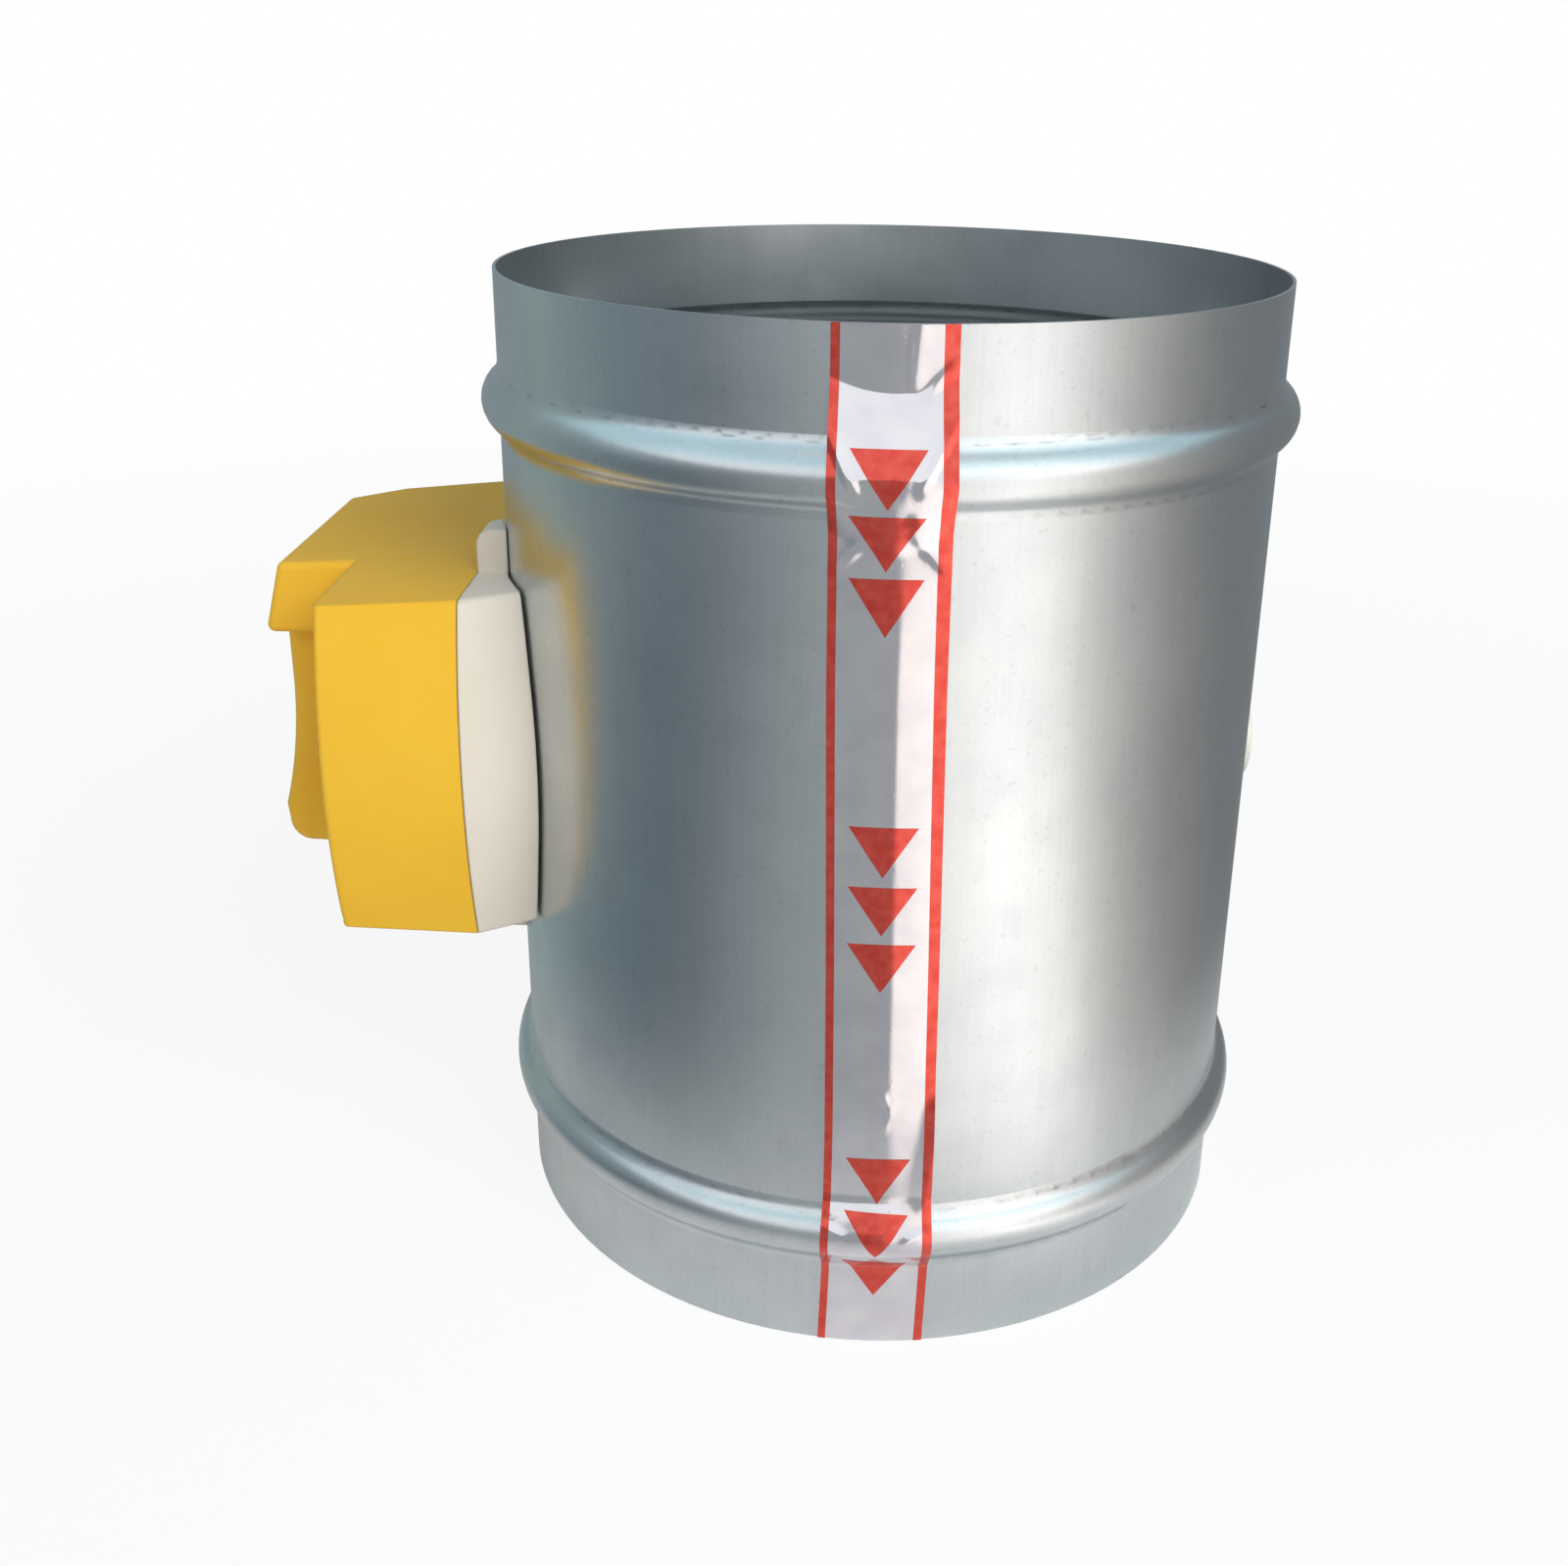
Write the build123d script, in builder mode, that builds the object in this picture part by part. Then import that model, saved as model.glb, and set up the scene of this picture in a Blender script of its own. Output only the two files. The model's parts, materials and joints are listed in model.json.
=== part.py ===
from build123d import *
import math
import os

os.makedirs("parts", exist_ok=True)

# Motorized air damper for a round duct, in millimetres.
# The duct's axis is Z and its lower rim lies at Z = 0. The actuator stands out towards -X.
# On the actuator, reach is the distance from the duct's axis towards -X, near is the side
# towards -Y, far is the side towards +Y, and rise is the height above the blade's shaft.

# Duct section
duct_radius = 99.0
duct_length = 251.0
duct_wall = 0.8
bead_inset = 31.7
bead_height = 4.3
bead_crown = 6.9
bead_foot = 4.5

# Foil tape and the print on it
tape_width = 25.4
tape_gap = 0.05
tape_thickness = 0.15
ink_gap = 0.02
ink_thickness = 0.10
left_stripe_width = 1.6
right_stripe_width = 2.5
arrow_width = 15.4
arrow_height = 12.4
arrow_pitch = 14.5
arrow_group_pitch = 86.8
arrow_drop = 5.2
arrow_groups = 3
arrows_per_group = 3

# Blade, seal and shaft
seal_clearance = 0.4
seal_width = 13.0
seal_thickness = 2.4
seal_grip = 10.0
seal_lip_radius = 1.08
blade_wall = 0.8
shaft_radius = 5.0
shaft_flat_width = 8.0
swage_gap = 0.05
swage_blend = 1.5
rim_rivet_count = 8
rivet_shank = 1.6
rivet_head = 3.2
rivet_head_height = 1.0
rivet_head_rounding = 0.6
rivet_gap = 0.1
shaft_rivet_spacing = 62.0
shaft_rivet_count = 3
seat_gap = 0.05

# Bushes that carry the shaft in the duct wall
bush_wall = 3.0
bush_hole_gap = 0.1
bush_flange = 6.0
bush_flange_thickness = 1.6
bush_inside = 3.7
bush_snap = 0.4
bush_edge = 0.5
shaft_running_gap = 0.05
bush_clearance = 1.0
shaft_end_gap = 0.5
bush_end_gap = 0.8

# Actuator housing
saddle_radius = 132.0
saddle_gap = 0.3
base_depth = 3.4
base_floor = 3.0
shell_wall = 2.4
split_gap = 0.25
near_half = 53.0
far_half = 71.9
side_bulge = 7.0
housing_above = 51.1
housing_below = 38.5
housing_corner = 2.2
housing_foot_corner = 1.0
hollow_corner = 0.5
top_draft = 0.05
bottom_draft = 0.037
far_draft = 0.23
strip_depth = 34.9
cap_near = 15.5
cap_top_rise = 20.9
cap_face_rise = 25.8
cap_height = 22.0
block_near = 8.0
block_top_share = 0.8
block_foot_share = 0.8
neck_rise = 23.3
neck_height = 13.5
neck_radius = 140.0
belly_height = -25.0
belly_blend = 10.0
block_corner = 5.0
block_bottom_corner = 6.5
chamfer_near_corner = 52.5
chamfer_angle = 36.0
hood_edge = 2.0
tier_edge = 1.5
rim_tongue_height = 1.8
rim_tongue_gap = 0.1

# Fixing ears and their screws
ear_half = 29.0
ear_width = 10.0
ear_above = 11.2
ear_below = 10.5
ear_corner = 4.0
fixing_screw_shank = 1.75
fixing_screw_head = 3.4
fixing_screw_head_depth = 1.65
fixing_screw_length = 9.5
screw_gap = 0.05
screw_tip_gap = 1.0

# Cover screws
cover_screw_shank = 1.75
cover_screw_head = 3.2
cover_screw_head_height = 1.6
cover_head_gap = 0.4
cover_column = 4.6
cover_seat_depth = 10.0
cover_screw_grip = 8.0
cover_screw_near = 47.0
cover_screw_far = 46.0
cover_screw_above = 40.0
cover_screw_below = 27.0

# Gear train
module_out = 1.0
module_in = 0.8
output_teeth = 52
pinion_teeth = 18
wheel_teeth = 45
motor_teeth = 18
tooth_backlash = 0.3
pressure_angle = 20.0
root_depth = 1.25
centre_gap = 0.1
output_width = 6.0
hub_step = 0.7
spigot_step = 2.0
output_web_hole = 4.5
output_web_holes = 6
wheel_width = 4.0
hub_wall = 4.0
axle_radius = 2.0
gear_running_gap = 0.05
gear_end_gap = 0.3
layer_gap = 2.0
gear_lift = 1.3
plate_lift = 3.0
cam_lift = 0.9
shaft_spare = 1.5
motor_offset = 38.0
motor_above = 5.5

# Gear plate, motor and what stands on them
plate_thickness = 1.6
plate_corner = 3.0
plate_margin = 5.0
pillar_radius = 4.0
pillar_far = 62.0
pillar_near = 28.0
pillar_above = 30.0
pillar_below = 15.0
small_screw_shank = 1.3
small_screw_head = 2.8
small_screw_head_height = 1.8
screw_head_rounding = 0.4
pillar_screw_grip = 13.0
gearbox_radius = 24.5
gearbox_height = 8.4
gearbox_edge = 1.0
can_radius = 20.0
can_height = 14.0
can_edge = 2.0
motor_screw_circle = 16.0
motor_screw_grip = 5.0
motor_screw_start = 80.0
motor_spindle = 2.5
motor_spindle_gap = 1.0
motor_clear_hole = 9.0

# Limit cam, switches and clip
cam_hub = 8.0
cam_lobe = 13.0
cam_thickness = 5.0
cam_lobe_width = 8.0
cam_tip_corner = 2.0
cam_rest_angle = 45.0
cam_gap = 0.3
switch_length = 13.0
switch_depth = 6.5
switch_height = 6.0
switch_hole = 1.0
switch_hole_spacing = 8.0
plunger_radius = 1.0
plunger_length = 1.7
clip_radius = 7.5
clip_thickness = 0.9
clip_groove_depth = 0.8
clip_opening = 5.6

# Control board
board_near = 54.5
board_far = 34.0
board_above = 33.0
board_below = 20.0
board_thickness = 1.6
board_lift = 4.0
board_post_radius = 2.4
board_post_inset = 3.0
board_screw_shank = 0.9
board_screw_head = 1.8
board_screw_head_height = 1.2
board_screw_grip = 8.0
relay_size = (12.0, 17.0, 8.4)
relay_place = (46.0, 15.0)
relay_edge = 0.6
capacitor_radius = 3.6
capacitor_height = 8.0
capacitor_place = (46.5, 0.5)
capacitor_edge = 0.5
terminal_size = (8.0, 15.0, 8.2)
terminal_place = (44.0, -11.0)
terminal_step = 5.0
terminal_hole = 1.6
terminal_screw = 1.5
terminal_poles = 3
terminal_entry_rise = 3.3
terminal_well_depth = 2.0
terminal_hole_depth = 4.0

# Cable gland
gland_reach_from_split = 17.3
gland_near = 10.0
gland_thread = 8.0
gland_hole_gap = 0.1
gland_bore = 5.0
gland_lip = 0.5
gland_seat = 12.0
gland_flats = 20.0
gland_flange_thickness = 4.8
gland_spigot = 7.0
gland_spigot_length = 6.5
gland_cap_radius = 9.6
gland_cap_end = 1.6
gland_cap_dome = 2.5
gland_nut_thickness = 4.0
gland_thread_spare = 1.0
gland_seal_bore = 3.5
gland_seal_length = 8.0

# Worked-out places
shaft_height = duct_length / 2
inner_radius = duct_radius - duct_wall
bead_heights = (bead_inset, duct_length - bead_inset)
seal_radius = inner_radius - seal_clearance
blade_radius = seal_radius - seal_width + seal_grip
bush_radius = shaft_radius + shaft_running_gap + bush_wall
flange_reach = duct_radius + bush_hole_gap
bush_end_reach = inner_radius - bush_inside
notch_reach = bush_end_reach - bush_end_gap
notch_half = bush_radius + bush_snap + bush_end_gap
swage_inner = shaft_radius + swage_gap
swage_outer = swage_inner + blade_wall
rim_rivet_circle = (blade_radius + seal_radius - seal_width) / 2

back_reach = duct_radius + saddle_gap
split_reach = back_reach + base_depth
cover_reach = split_reach + split_gap
strip_reach = split_reach + strip_depth
cap_top_reach = strip_reach + cap_top_rise
cap_face_reach = strip_reach + cap_face_rise
neck_reach = strip_reach + neck_rise
saddle_axis = saddle_radius - back_reach
side_middle = (housing_above - housing_below) / 2
deep_reach = back_reach - 2 * base_floor - saddle_radius / 4
beyond = 2 * cap_face_reach

gear_reach = split_reach + gear_lift
output_reach = gear_reach + hub_step
wheel_reach = output_reach + output_width + layer_gap
plate_reach = wheel_reach + wheel_width + plate_lift
plate_top = plate_reach + plate_thickness
cam_reach = plate_top + cam_lift
clip_reach = cam_reach + cam_thickness + gear_end_gap
shaft_end_reach = clip_reach + clip_thickness + shaft_spare
output_mesh = module_out * (output_teeth + pinion_teeth) / 2 + centre_gap
input_mesh = module_in * (wheel_teeth + motor_teeth) / 2 + centre_gap
motor_distance = math.hypot(motor_offset, motor_above)
motor_direction = 180 - math.degrees(math.atan2(motor_above, motor_offset))
mesh_corner = math.degrees(
    math.acos(
        (output_mesh**2 + motor_distance**2 - input_mesh**2) / (2 * output_mesh * motor_distance)
    )
)
compound_direction = motor_direction - mesh_corner
compound_place = (
    output_mesh * math.cos(math.radians(compound_direction)),
    output_mesh * math.sin(math.radians(compound_direction)),
)
motor_place = (-motor_offset, motor_above)
input_direction = math.degrees(
    math.atan2(motor_place[1] - compound_place[1], motor_place[0] - compound_place[0])
)
hub_radius = shaft_radius + hub_wall
spigot_radius = hub_radius - spigot_step
pillar_places = [
    (x, y) for x in (-pillar_far, pillar_near) for y in (-pillar_below, pillar_above)
]
cover_screw_places = [
    (-cover_screw_far, cover_screw_above),
    (-cover_screw_far, -cover_screw_below),
    (cover_screw_near, cover_screw_above),
    (cover_screw_near, -cover_screw_below),
]
board_reach = plate_top + board_lift - plate_thickness
board_top = board_reach + board_thickness
board_posts = [
    (x, y)
    for x in (board_far + board_post_inset, board_near - board_post_inset)
    for y in (board_post_inset - board_below, board_above - board_post_inset)
]
fixing_rises = (housing_above + ear_above / 2, -housing_below - ear_below / 2)
fixing_spread = ear_half - ear_width / 2
fixing_places = [
    (side * fixing_spread, rise) for side in (-1, 1) for rise in fixing_rises
]
gland_reach = split_reach + gland_reach_from_split
cover_seat_reach = split_reach + cover_seat_depth


def drive_plane(reach):
    """Plane square to the shaft, facing away from the duct: x is near, y is rise."""
    return Plane(origin=(-reach, 0, shaft_height), x_dir=(0, -1, 0), z_dir=(-1, 0, 0))


# Plane along the shaft and the duct: x is reach, y is rise, and its normal is +Y.
side_plane = Plane(origin=(0, 0, shaft_height), x_dir=(-1, 0, 0), z_dir=(0, 1, 0))

# Plane square to the duct at the shaft's height: x is reach, y is near, and its normal is +Z.
plan_plane = Plane(origin=(0, 0, shaft_height), x_dir=(-1, 0, 0), z_dir=(0, 0, 1))

# Plane of the open blade, seen from the near side: x is +X, y is rise, and its normal is -Y.
blade_plane = Plane(origin=(0, 0, shaft_height), x_dir=(1, 0, 0), z_dir=(0, -1, 0))

# Plane across the shaft at the duct's axis: x is +Y, y is rise, and its normal is +X.
cross_plane = Plane(origin=(0, 0, shaft_height), x_dir=(0, 1, 0), z_dir=(1, 0, 0))


def rolled_face(gap, overrun=0.0):
    """Half section of the duct's outline, from the axis to `gap` outside the sheet."""
    crown_centre = duct_radius + bead_height - bead_crown
    foot_centre = duct_radius + bead_foot + max(gap, 0)
    crown = bead_crown + gap
    foot = bead_foot - min(gap, 0)
    reach = math.sqrt((crown + foot) ** 2 - (foot_centre - crown_centre) ** 2)
    lean = math.degrees(math.asin(reach / (crown + foot)))
    edge = duct_radius + gap
    with BuildSketch() as section:
        with BuildLine():
            last = (0, -overrun)
            rim = (edge, -overrun)
            Line(last, rim)
            last = rim
            for height in bead_heights:
                start = (edge, height - reach)
                Line(last, start)
                CenterArc((foot_centre, height - reach), foot, 180, -lean)
                CenterArc((crown_centre, height), crown, -lean, 2 * lean)
                CenterArc((foot_centre, height + reach), foot, 180 + lean, -lean)
                last = (edge, height + reach)
            rim = (edge, duct_length + overrun)
            Line(last, rim)
            Line(rim, (0, duct_length + overrun))
            Line((0, duct_length + overrun), (0, -overrun))
        make_face()
    return section.sketch


def duct_skin(low_gap, high_gap):
    """A sheet that follows the duct's outside between two distances from it."""
    with BuildPart() as skin:
        with BuildSketch(Plane.XZ):
            add(rolled_face(high_gap))
        revolve(axis=Axis.Z)
        with BuildSketch(Plane.XZ):
            add(rolled_face(low_gap, overrun=1.0))
        revolve(axis=Axis.Z, mode=Mode.SUBTRACT)
    return skin.part


def housing_outline(inset):
    """The housing seen along the shaft: flat top and bottom, and bulging sides."""
    with BuildSketch() as outline:
        with BuildLine():
            ThreePointArc(
                (near_half, -housing_below),
                (near_half + side_bulge, side_middle),
                (near_half, housing_above),
            )
            Line((near_half, housing_above), (-far_half, housing_above))
            ThreePointArc(
                (-far_half, housing_above),
                (-far_half - side_bulge, side_middle),
                (-far_half, -housing_below),
            )
            Line((-far_half, -housing_below), (near_half, -housing_below))
        make_face()
        if inset:
            offset(amount=-inset)
        rows = outline.vertices().group_by(Axis.Y)
        fillet(rows[-1], radius=max(housing_corner - inset, hollow_corner))
        fillet(rows[0], radius=max(housing_foot_corner - inset, hollow_corner))
    return outline.sketch


def top_at(reach):
    return housing_above - top_draft * (reach - split_reach)


def bottom_at(reach):
    return bottom_draft * (reach - split_reach) - housing_below


def cover_prism(inset, start_reach):
    """The cover's sides: the outline carried outwards, with the far side drawn in."""
    length = beyond - start_reach
    with BuildPart() as prism:
        with BuildSketch(drive_plane(start_reach)):
            add(housing_outline(inset))
        extrude(amount=length)
        with BuildSketch(drive_plane(split_reach)):
            add(housing_outline(inset))
        extrude(
            amount=length * math.hypot(1, far_draft),
            dir=(-1, -far_draft, 0),
            both=True,
            mode=Mode.INTERSECT,
        )
    return prism.part


def strip_profile(inset, start_reach):
    """Side view of the cover's lower tier."""
    level = strip_reach - inset
    with BuildSketch() as profile:
        with BuildLine():
            Polyline(
                (start_reach, bottom_at(start_reach) + inset),
                (level, bottom_at(level) + inset),
                (level, top_at(level) - inset),
                (start_reach, top_at(start_reach) - inset),
                close=True,
            )
        make_face()
    return profile.sketch


def cap_profile(inset, start_reach):
    """Side view of the hood across the top of the cover's outer block."""
    under = housing_above - cap_height + inset
    top = cap_top_reach - inset
    face = cap_face_reach - inset
    with BuildSketch() as profile:
        with BuildLine():
            Polyline(
                (start_reach, under),
                (face, under),
                (top, top_at(top) - inset),
                (start_reach, top_at(start_reach) - inset),
                close=True,
            )
        make_face()
    return profile.sketch


def block_profile(inset, start_reach):
    """Side view of the cover's outer block: a belly below a long concave neck."""
    arc_radius = neck_radius + inset
    drop = neck_height - belly_height
    belly_reach = neck_reach + neck_radius - math.sqrt(neck_radius**2 - drop**2)
    neck = neck_reach - inset
    belly = neck + arc_radius - math.sqrt(arc_radius**2 - drop**2)
    foot = neck_reach + (belly_reach - neck_reach) * block_foot_share - inset
    top = housing_above - block_top_share * cap_height
    swing = math.degrees(math.asin(drop / arc_radius))
    with BuildSketch() as profile:
        with BuildLine():
            Polyline(
                (belly, belly_height),
                (foot, bottom_at(foot) + inset),
                (start_reach, bottom_at(start_reach) + inset),
                (start_reach, top),
                (neck, top),
                (neck, neck_height),
            )
            CenterArc((neck + arc_radius, neck_height), arc_radius, 180, swing)
        make_face()
        corners = profile.vertices().filter_by(lambda v: v.Y < neck_height and v.X > neck)
        corners = corners.sort_by(Axis.Y)
        fillet(corners[0], radius=block_bottom_corner - inset)
        fillet(corners[1], radius=belly_blend - inset)
    return profile.sketch


def cover_form(inset, start_reach):
    """The cover's outer form, or its hollow when `inset` is the wall."""
    prism = cover_prism(inset, start_reach)
    with BuildPart() as block:
        add(prism)
        with BuildSketch(side_plane):
            add(block_profile(inset, start_reach))
        extrude(amount=beyond, both=True, mode=Mode.INTERSECT)
        with BuildSketch(drive_plane(0)):
            with Locations((block_near - inset - beyond / 2, 0)):
                Rectangle(beyond, beyond)
        extrude(amount=beyond, mode=Mode.INTERSECT)
        near_wall = block.faces().sort_by(Axis.Y)[0]
        front = near_wall.edges().filter_by(lambda e: e.center().X < -strip_reach)
        fillet(front, radius=block_corner - inset)
    with BuildPart() as cap:
        add(prism)
        with BuildSketch(side_plane):
            add(cap_profile(inset, start_reach))
        extrude(amount=beyond, both=True, mode=Mode.INTERSECT)
        with BuildSketch(drive_plane(0)):
            with Locations((cap_near - inset - beyond / 2, 0)):
                Rectangle(beyond, beyond)
        extrude(amount=beyond, mode=Mode.INTERSECT)
    slope = math.radians(chamfer_angle)
    cut = far_half
    with BuildPart() as form:
        add(prism)
        with BuildSketch(side_plane):
            add(strip_profile(inset, start_reach))
        extrude(amount=beyond, both=True, mode=Mode.INTERSECT)
        add(block.part)
        add(cap.part)
        with BuildSketch(plan_plane):
            with Locations(
                (
                    cap_top_reach + (cut - inset) * math.sin(slope),
                    -chamfer_near_corner - (cut - inset) * math.cos(slope),
                )
            ):
                Rectangle(4 * cut, 2 * cut, rotation=chamfer_angle)
        extrude(amount=beyond, both=True, mode=Mode.SUBTRACT)
    return form.part


def screw(plane, places, shank, head, head_height, length):
    """Pan-head screws whose heads seat on `plane` and whose shanks point into it."""
    with BuildPart() as screws:
        with BuildSketch(plane):
            with Locations(places):
                Circle(head)
        extrude(amount=head_height)
        rims = screws.edges().filter_by(GeomType.CIRCLE).group_by(SortBy.RADIUS)[-1]
        outer = rims.filter_by(
            lambda e: (e.center() - plane.origin).dot(plane.z_dir) > head_height / 2
        )
        fillet(outer, radius=screw_head_rounding * head_height)
        with BuildSketch(plane):
            with Locations(places):
                Circle(shank)
        extrude(amount=-length)
    return screws.part


def involute(angle):
    return math.tan(angle) - angle


def gear_outline(module, teeth, turn):
    """Spur gear with involute flanks and one tooth centred on `turn` degrees."""
    pitch = module * teeth / 2
    base = pitch * math.cos(math.radians(pressure_angle))
    tip = pitch + module
    root = pitch - root_depth * module
    start = max(base, root)
    half_tooth = math.pi / (2 * teeth) - tooth_backlash / (4 * pitch)

    def at(radius, angle):
        return (radius * math.cos(angle), radius * math.sin(angle))

    def half_angle(radius):
        at_pitch = involute(math.radians(pressure_angle))
        return half_tooth + at_pitch - involute(math.acos(base / radius))

    radii = (start, (start + tip) / 2, tip)
    half_angles = [half_angle(radius) for radius in radii]
    step = 2 * math.pi / teeth
    with BuildSketch() as outline:
        with BuildLine():
            for tooth in range(teeth):
                middle = math.radians(turn) + tooth * step
                rising = [at(r, middle - a) for r, a in zip(radii, half_angles)]
                falling = [at(r, middle + a) for r, a in zip(radii, half_angles)]
                if root < start:
                    Line(at(root, middle - half_angles[0]), rising[0])
                    Line(falling[0], at(root, middle + half_angles[0]))
                ThreePointArc(*rising)
                ThreePointArc(rising[2], at(tip, middle), falling[2])
                ThreePointArc(*reversed(falling))
                ThreePointArc(
                    at(min(root, start), middle + half_angles[0]),
                    at(min(root, start), middle + step / 2),
                    at(min(root, start), middle + step - half_angles[0]),
                )
        make_face()
    return outline.sketch


def meshed_turn(turn, teeth, direction, mate_teeth):
    """Where a mate's tooth points when it meshes with a gear whose tooth is at `turn`."""
    return direction + 180 + 180 / mate_teeth - (turn - direction) * teeth / mate_teeth


def flatted_section(gap):
    """The shaft's end with its two flats, `gap` larger all round."""
    with BuildSketch() as section:
        Circle(shaft_radius + gap)
        Rectangle(4 * shaft_radius, shaft_flat_width + 2 * gap, mode=Mode.INTERSECT)
    return section.sketch


def sunk_heads():
    """Cones of the flush screws that hold the base to the duct."""
    with BuildPart() as heads:
        for place in fixing_places:
            with BuildSketch(drive_plane(split_reach)):
                with Locations(place):
                    Circle(fixing_screw_head)
            with BuildSketch(drive_plane(split_reach - fixing_screw_head_depth)):
                with Locations(place):
                    Circle(fixing_screw_shank)
            loft()
    return heads.part


# Duct tube: one rolled sheet with two beads, and holes for the bushes and fixing screws
with BuildPart() as duct_tube:
    add(duct_skin(-duct_wall, 0))
    with BuildSketch(cross_plane):
        Circle(bush_radius + bush_hole_gap)
    extrude(amount=beyond, both=True, mode=Mode.SUBTRACT)
    with BuildSketch(drive_plane(0)):
        with Locations(fixing_places):
            Circle(fixing_screw_shank + screw_gap)
    extrude(amount=beyond, mode=Mode.SUBTRACT)
duct_tube.part.label = "duct_tube"
export_step(duct_tube.part, "parts/duct_tube.step")

# Foil tape from rim to rim, over both beads
with BuildPart() as flow_tape:
    add(duct_skin(tape_gap, tape_gap + tape_thickness))
    with BuildSketch(blade_plane):
        Rectangle(tape_width, 2 * duct_length)
    extrude(amount=beyond, mode=Mode.INTERSECT)
flow_tape.part.label = "flow_tape"
export_step(flow_tape.part, "parts/flow_tape.step")

# Printed edge stripes of the tape
ink_low = tape_gap + tape_thickness + ink_gap
ink_high = ink_low + ink_thickness
print_skin = duct_skin(ink_low, ink_high)
with BuildPart() as tape_edge_stripes:
    add(print_skin)
    with BuildSketch(blade_plane):
        with Locations(((left_stripe_width - tape_width) / 2, 0)):
            Rectangle(left_stripe_width, 2 * duct_length)
        with Locations(((tape_width - right_stripe_width) / 2, 0)):
            Rectangle(right_stripe_width, 2 * duct_length)
    extrude(amount=beyond, mode=Mode.INTERSECT)
tape_edge_stripes.part.label = "tape_edge_stripes"
export_step(tape_edge_stripes.part, "parts/tape_edge_stripes.step")

# Printed arrows of the tape, in groups that point down the duct
arrow_middle = (left_stripe_width - right_stripe_width) / 2
with BuildPart() as tape_arrows:
    add(print_skin)
    with BuildSketch(blade_plane):
        for group in range(arrow_groups):
            for arrow in range(arrows_per_group):
                rise = (group - (arrow_groups - 1) / 2) * arrow_group_pitch - arrow_drop
                rise += (arrow - (arrows_per_group - 1) / 2) * arrow_pitch
                with BuildLine():
                    Polyline(
                        (arrow_middle - arrow_width / 2, rise + arrow_height / 2),
                        (arrow_middle + arrow_width / 2, rise + arrow_height / 2),
                        (arrow_middle, rise - arrow_height / 2),
                        close=True,
                    )
                make_face()
    extrude(amount=beyond, mode=Mode.INTERSECT)
tape_arrows.part.label = "tape_arrows"
export_step(tape_arrows.part, "parts/tape_arrows.step")


def side_wall(side):
    """Plane across the shaft that faces out of the duct; `side` is -1 or 1 along X."""
    return Plane(origin=(0, 0, shaft_height), x_dir=(0, 1, 0), z_dir=(side, 0, 0))


def shaft_bush(side, closed):
    """Flanged bush that snaps into the duct wall from outside."""
    snap_middle = (bush_end_reach + inner_radius) / 2 - bush_snap
    with BuildPart() as bush:
        with BuildSketch(side_wall(side).offset(flange_reach)):
            Circle(bush_radius + bush_flange / 2)
        extrude(amount=bush_flange_thickness)
        fillet(bush.faces().sort_by(Axis.X)[0 if side < 0 else -1].edges(), radius=bush_edge)
        with BuildSketch(side_wall(side).offset(bush_end_reach)):
            Circle(bush_radius)
        extrude(amount=flange_reach - bush_end_reach)
        with BuildSketch(side_wall(side).offset(snap_middle - bush_snap)):
            Circle(bush_radius + bush_snap)
        extrude(amount=2 * bush_snap)
        with BuildSketch(side_wall(side).offset(bush_end_reach)):
            Circle(shaft_radius + shaft_running_gap)
        depth = flange_reach - bush_end_reach if closed else beyond
        extrude(amount=depth, mode=Mode.SUBTRACT)
    return bush.part


# Bush on the drive side, open for the shaft
with BuildPart() as drive_side_bush:
    add(shaft_bush(-1, closed=False))
drive_side_bush.part.label = "drive_side_bush"
export_step(drive_side_bush.part, "parts/drive_side_bush.step")

# Bush on the idle side, closed outside
with BuildPart() as idle_side_bush:
    add(shaft_bush(1, closed=True))
idle_side_bush.part.label = "idle_side_bush"
export_step(idle_side_bush.part, "parts/idle_side_bush.step")


def rim_rivet_places():
    step = 360 / rim_rivet_count
    return PolarLocations(rim_rivet_circle, rim_rivet_count, start_angle=step / 2)


def shaft_rivet_places():
    return GridLocations(shaft_rivet_spacing, 1, shaft_rivet_count, 1)


def blade_disc(side):
    """Pressed disc with a half-round swage over the shaft; `side` is -1 or 1 along Y."""
    with BuildPart() as disc:
        with BuildSketch(cross_plane) as section:
            with Locations((side * (seal_thickness + blade_wall) / 2, 0)):
                Rectangle(blade_wall, 2 * blade_radius)
            Circle(swage_outer)
            corners = section.vertices().filter_by(lambda v: v.X * side > seal_thickness / 2 + seat_gap)
            corners = corners.filter_by(lambda v: abs(v.Y) < 1.5 * swage_outer)
            fillet(corners, radius=swage_blend)
            Circle(swage_inner, mode=Mode.SUBTRACT)
            with Locations((side * (seal_thickness / 2 - beyond / 2), 0)):
                Rectangle(beyond, beyond, mode=Mode.SUBTRACT)
        extrude(amount=blade_radius, both=True)
        with BuildSketch(blade_plane):
            Circle(blade_radius)
            Rectangle(2 * notch_reach, 2 * notch_half)
            with Locations((notch_reach + notch_half, 0), (-notch_reach - notch_half, 0)):
                Rectangle(2 * notch_half, 2 * notch_half, mode=Mode.SUBTRACT)
            with rim_rivet_places():
                Circle(rivet_shank + rivet_gap, mode=Mode.SUBTRACT)
            with shaft_rivet_places():
                Circle(rivet_shank + rivet_gap, mode=Mode.SUBTRACT)
        extrude(amount=2 * swage_outer, both=True, mode=Mode.INTERSECT)
    return disc.part


# Blade discs, riveted together with the seal between their rims
with BuildPart() as blade_disc_front:
    add(blade_disc(-1))
blade_disc_front.part.label = "blade_disc_front"
export_step(blade_disc_front.part, "parts/blade_disc_front.step")

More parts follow.
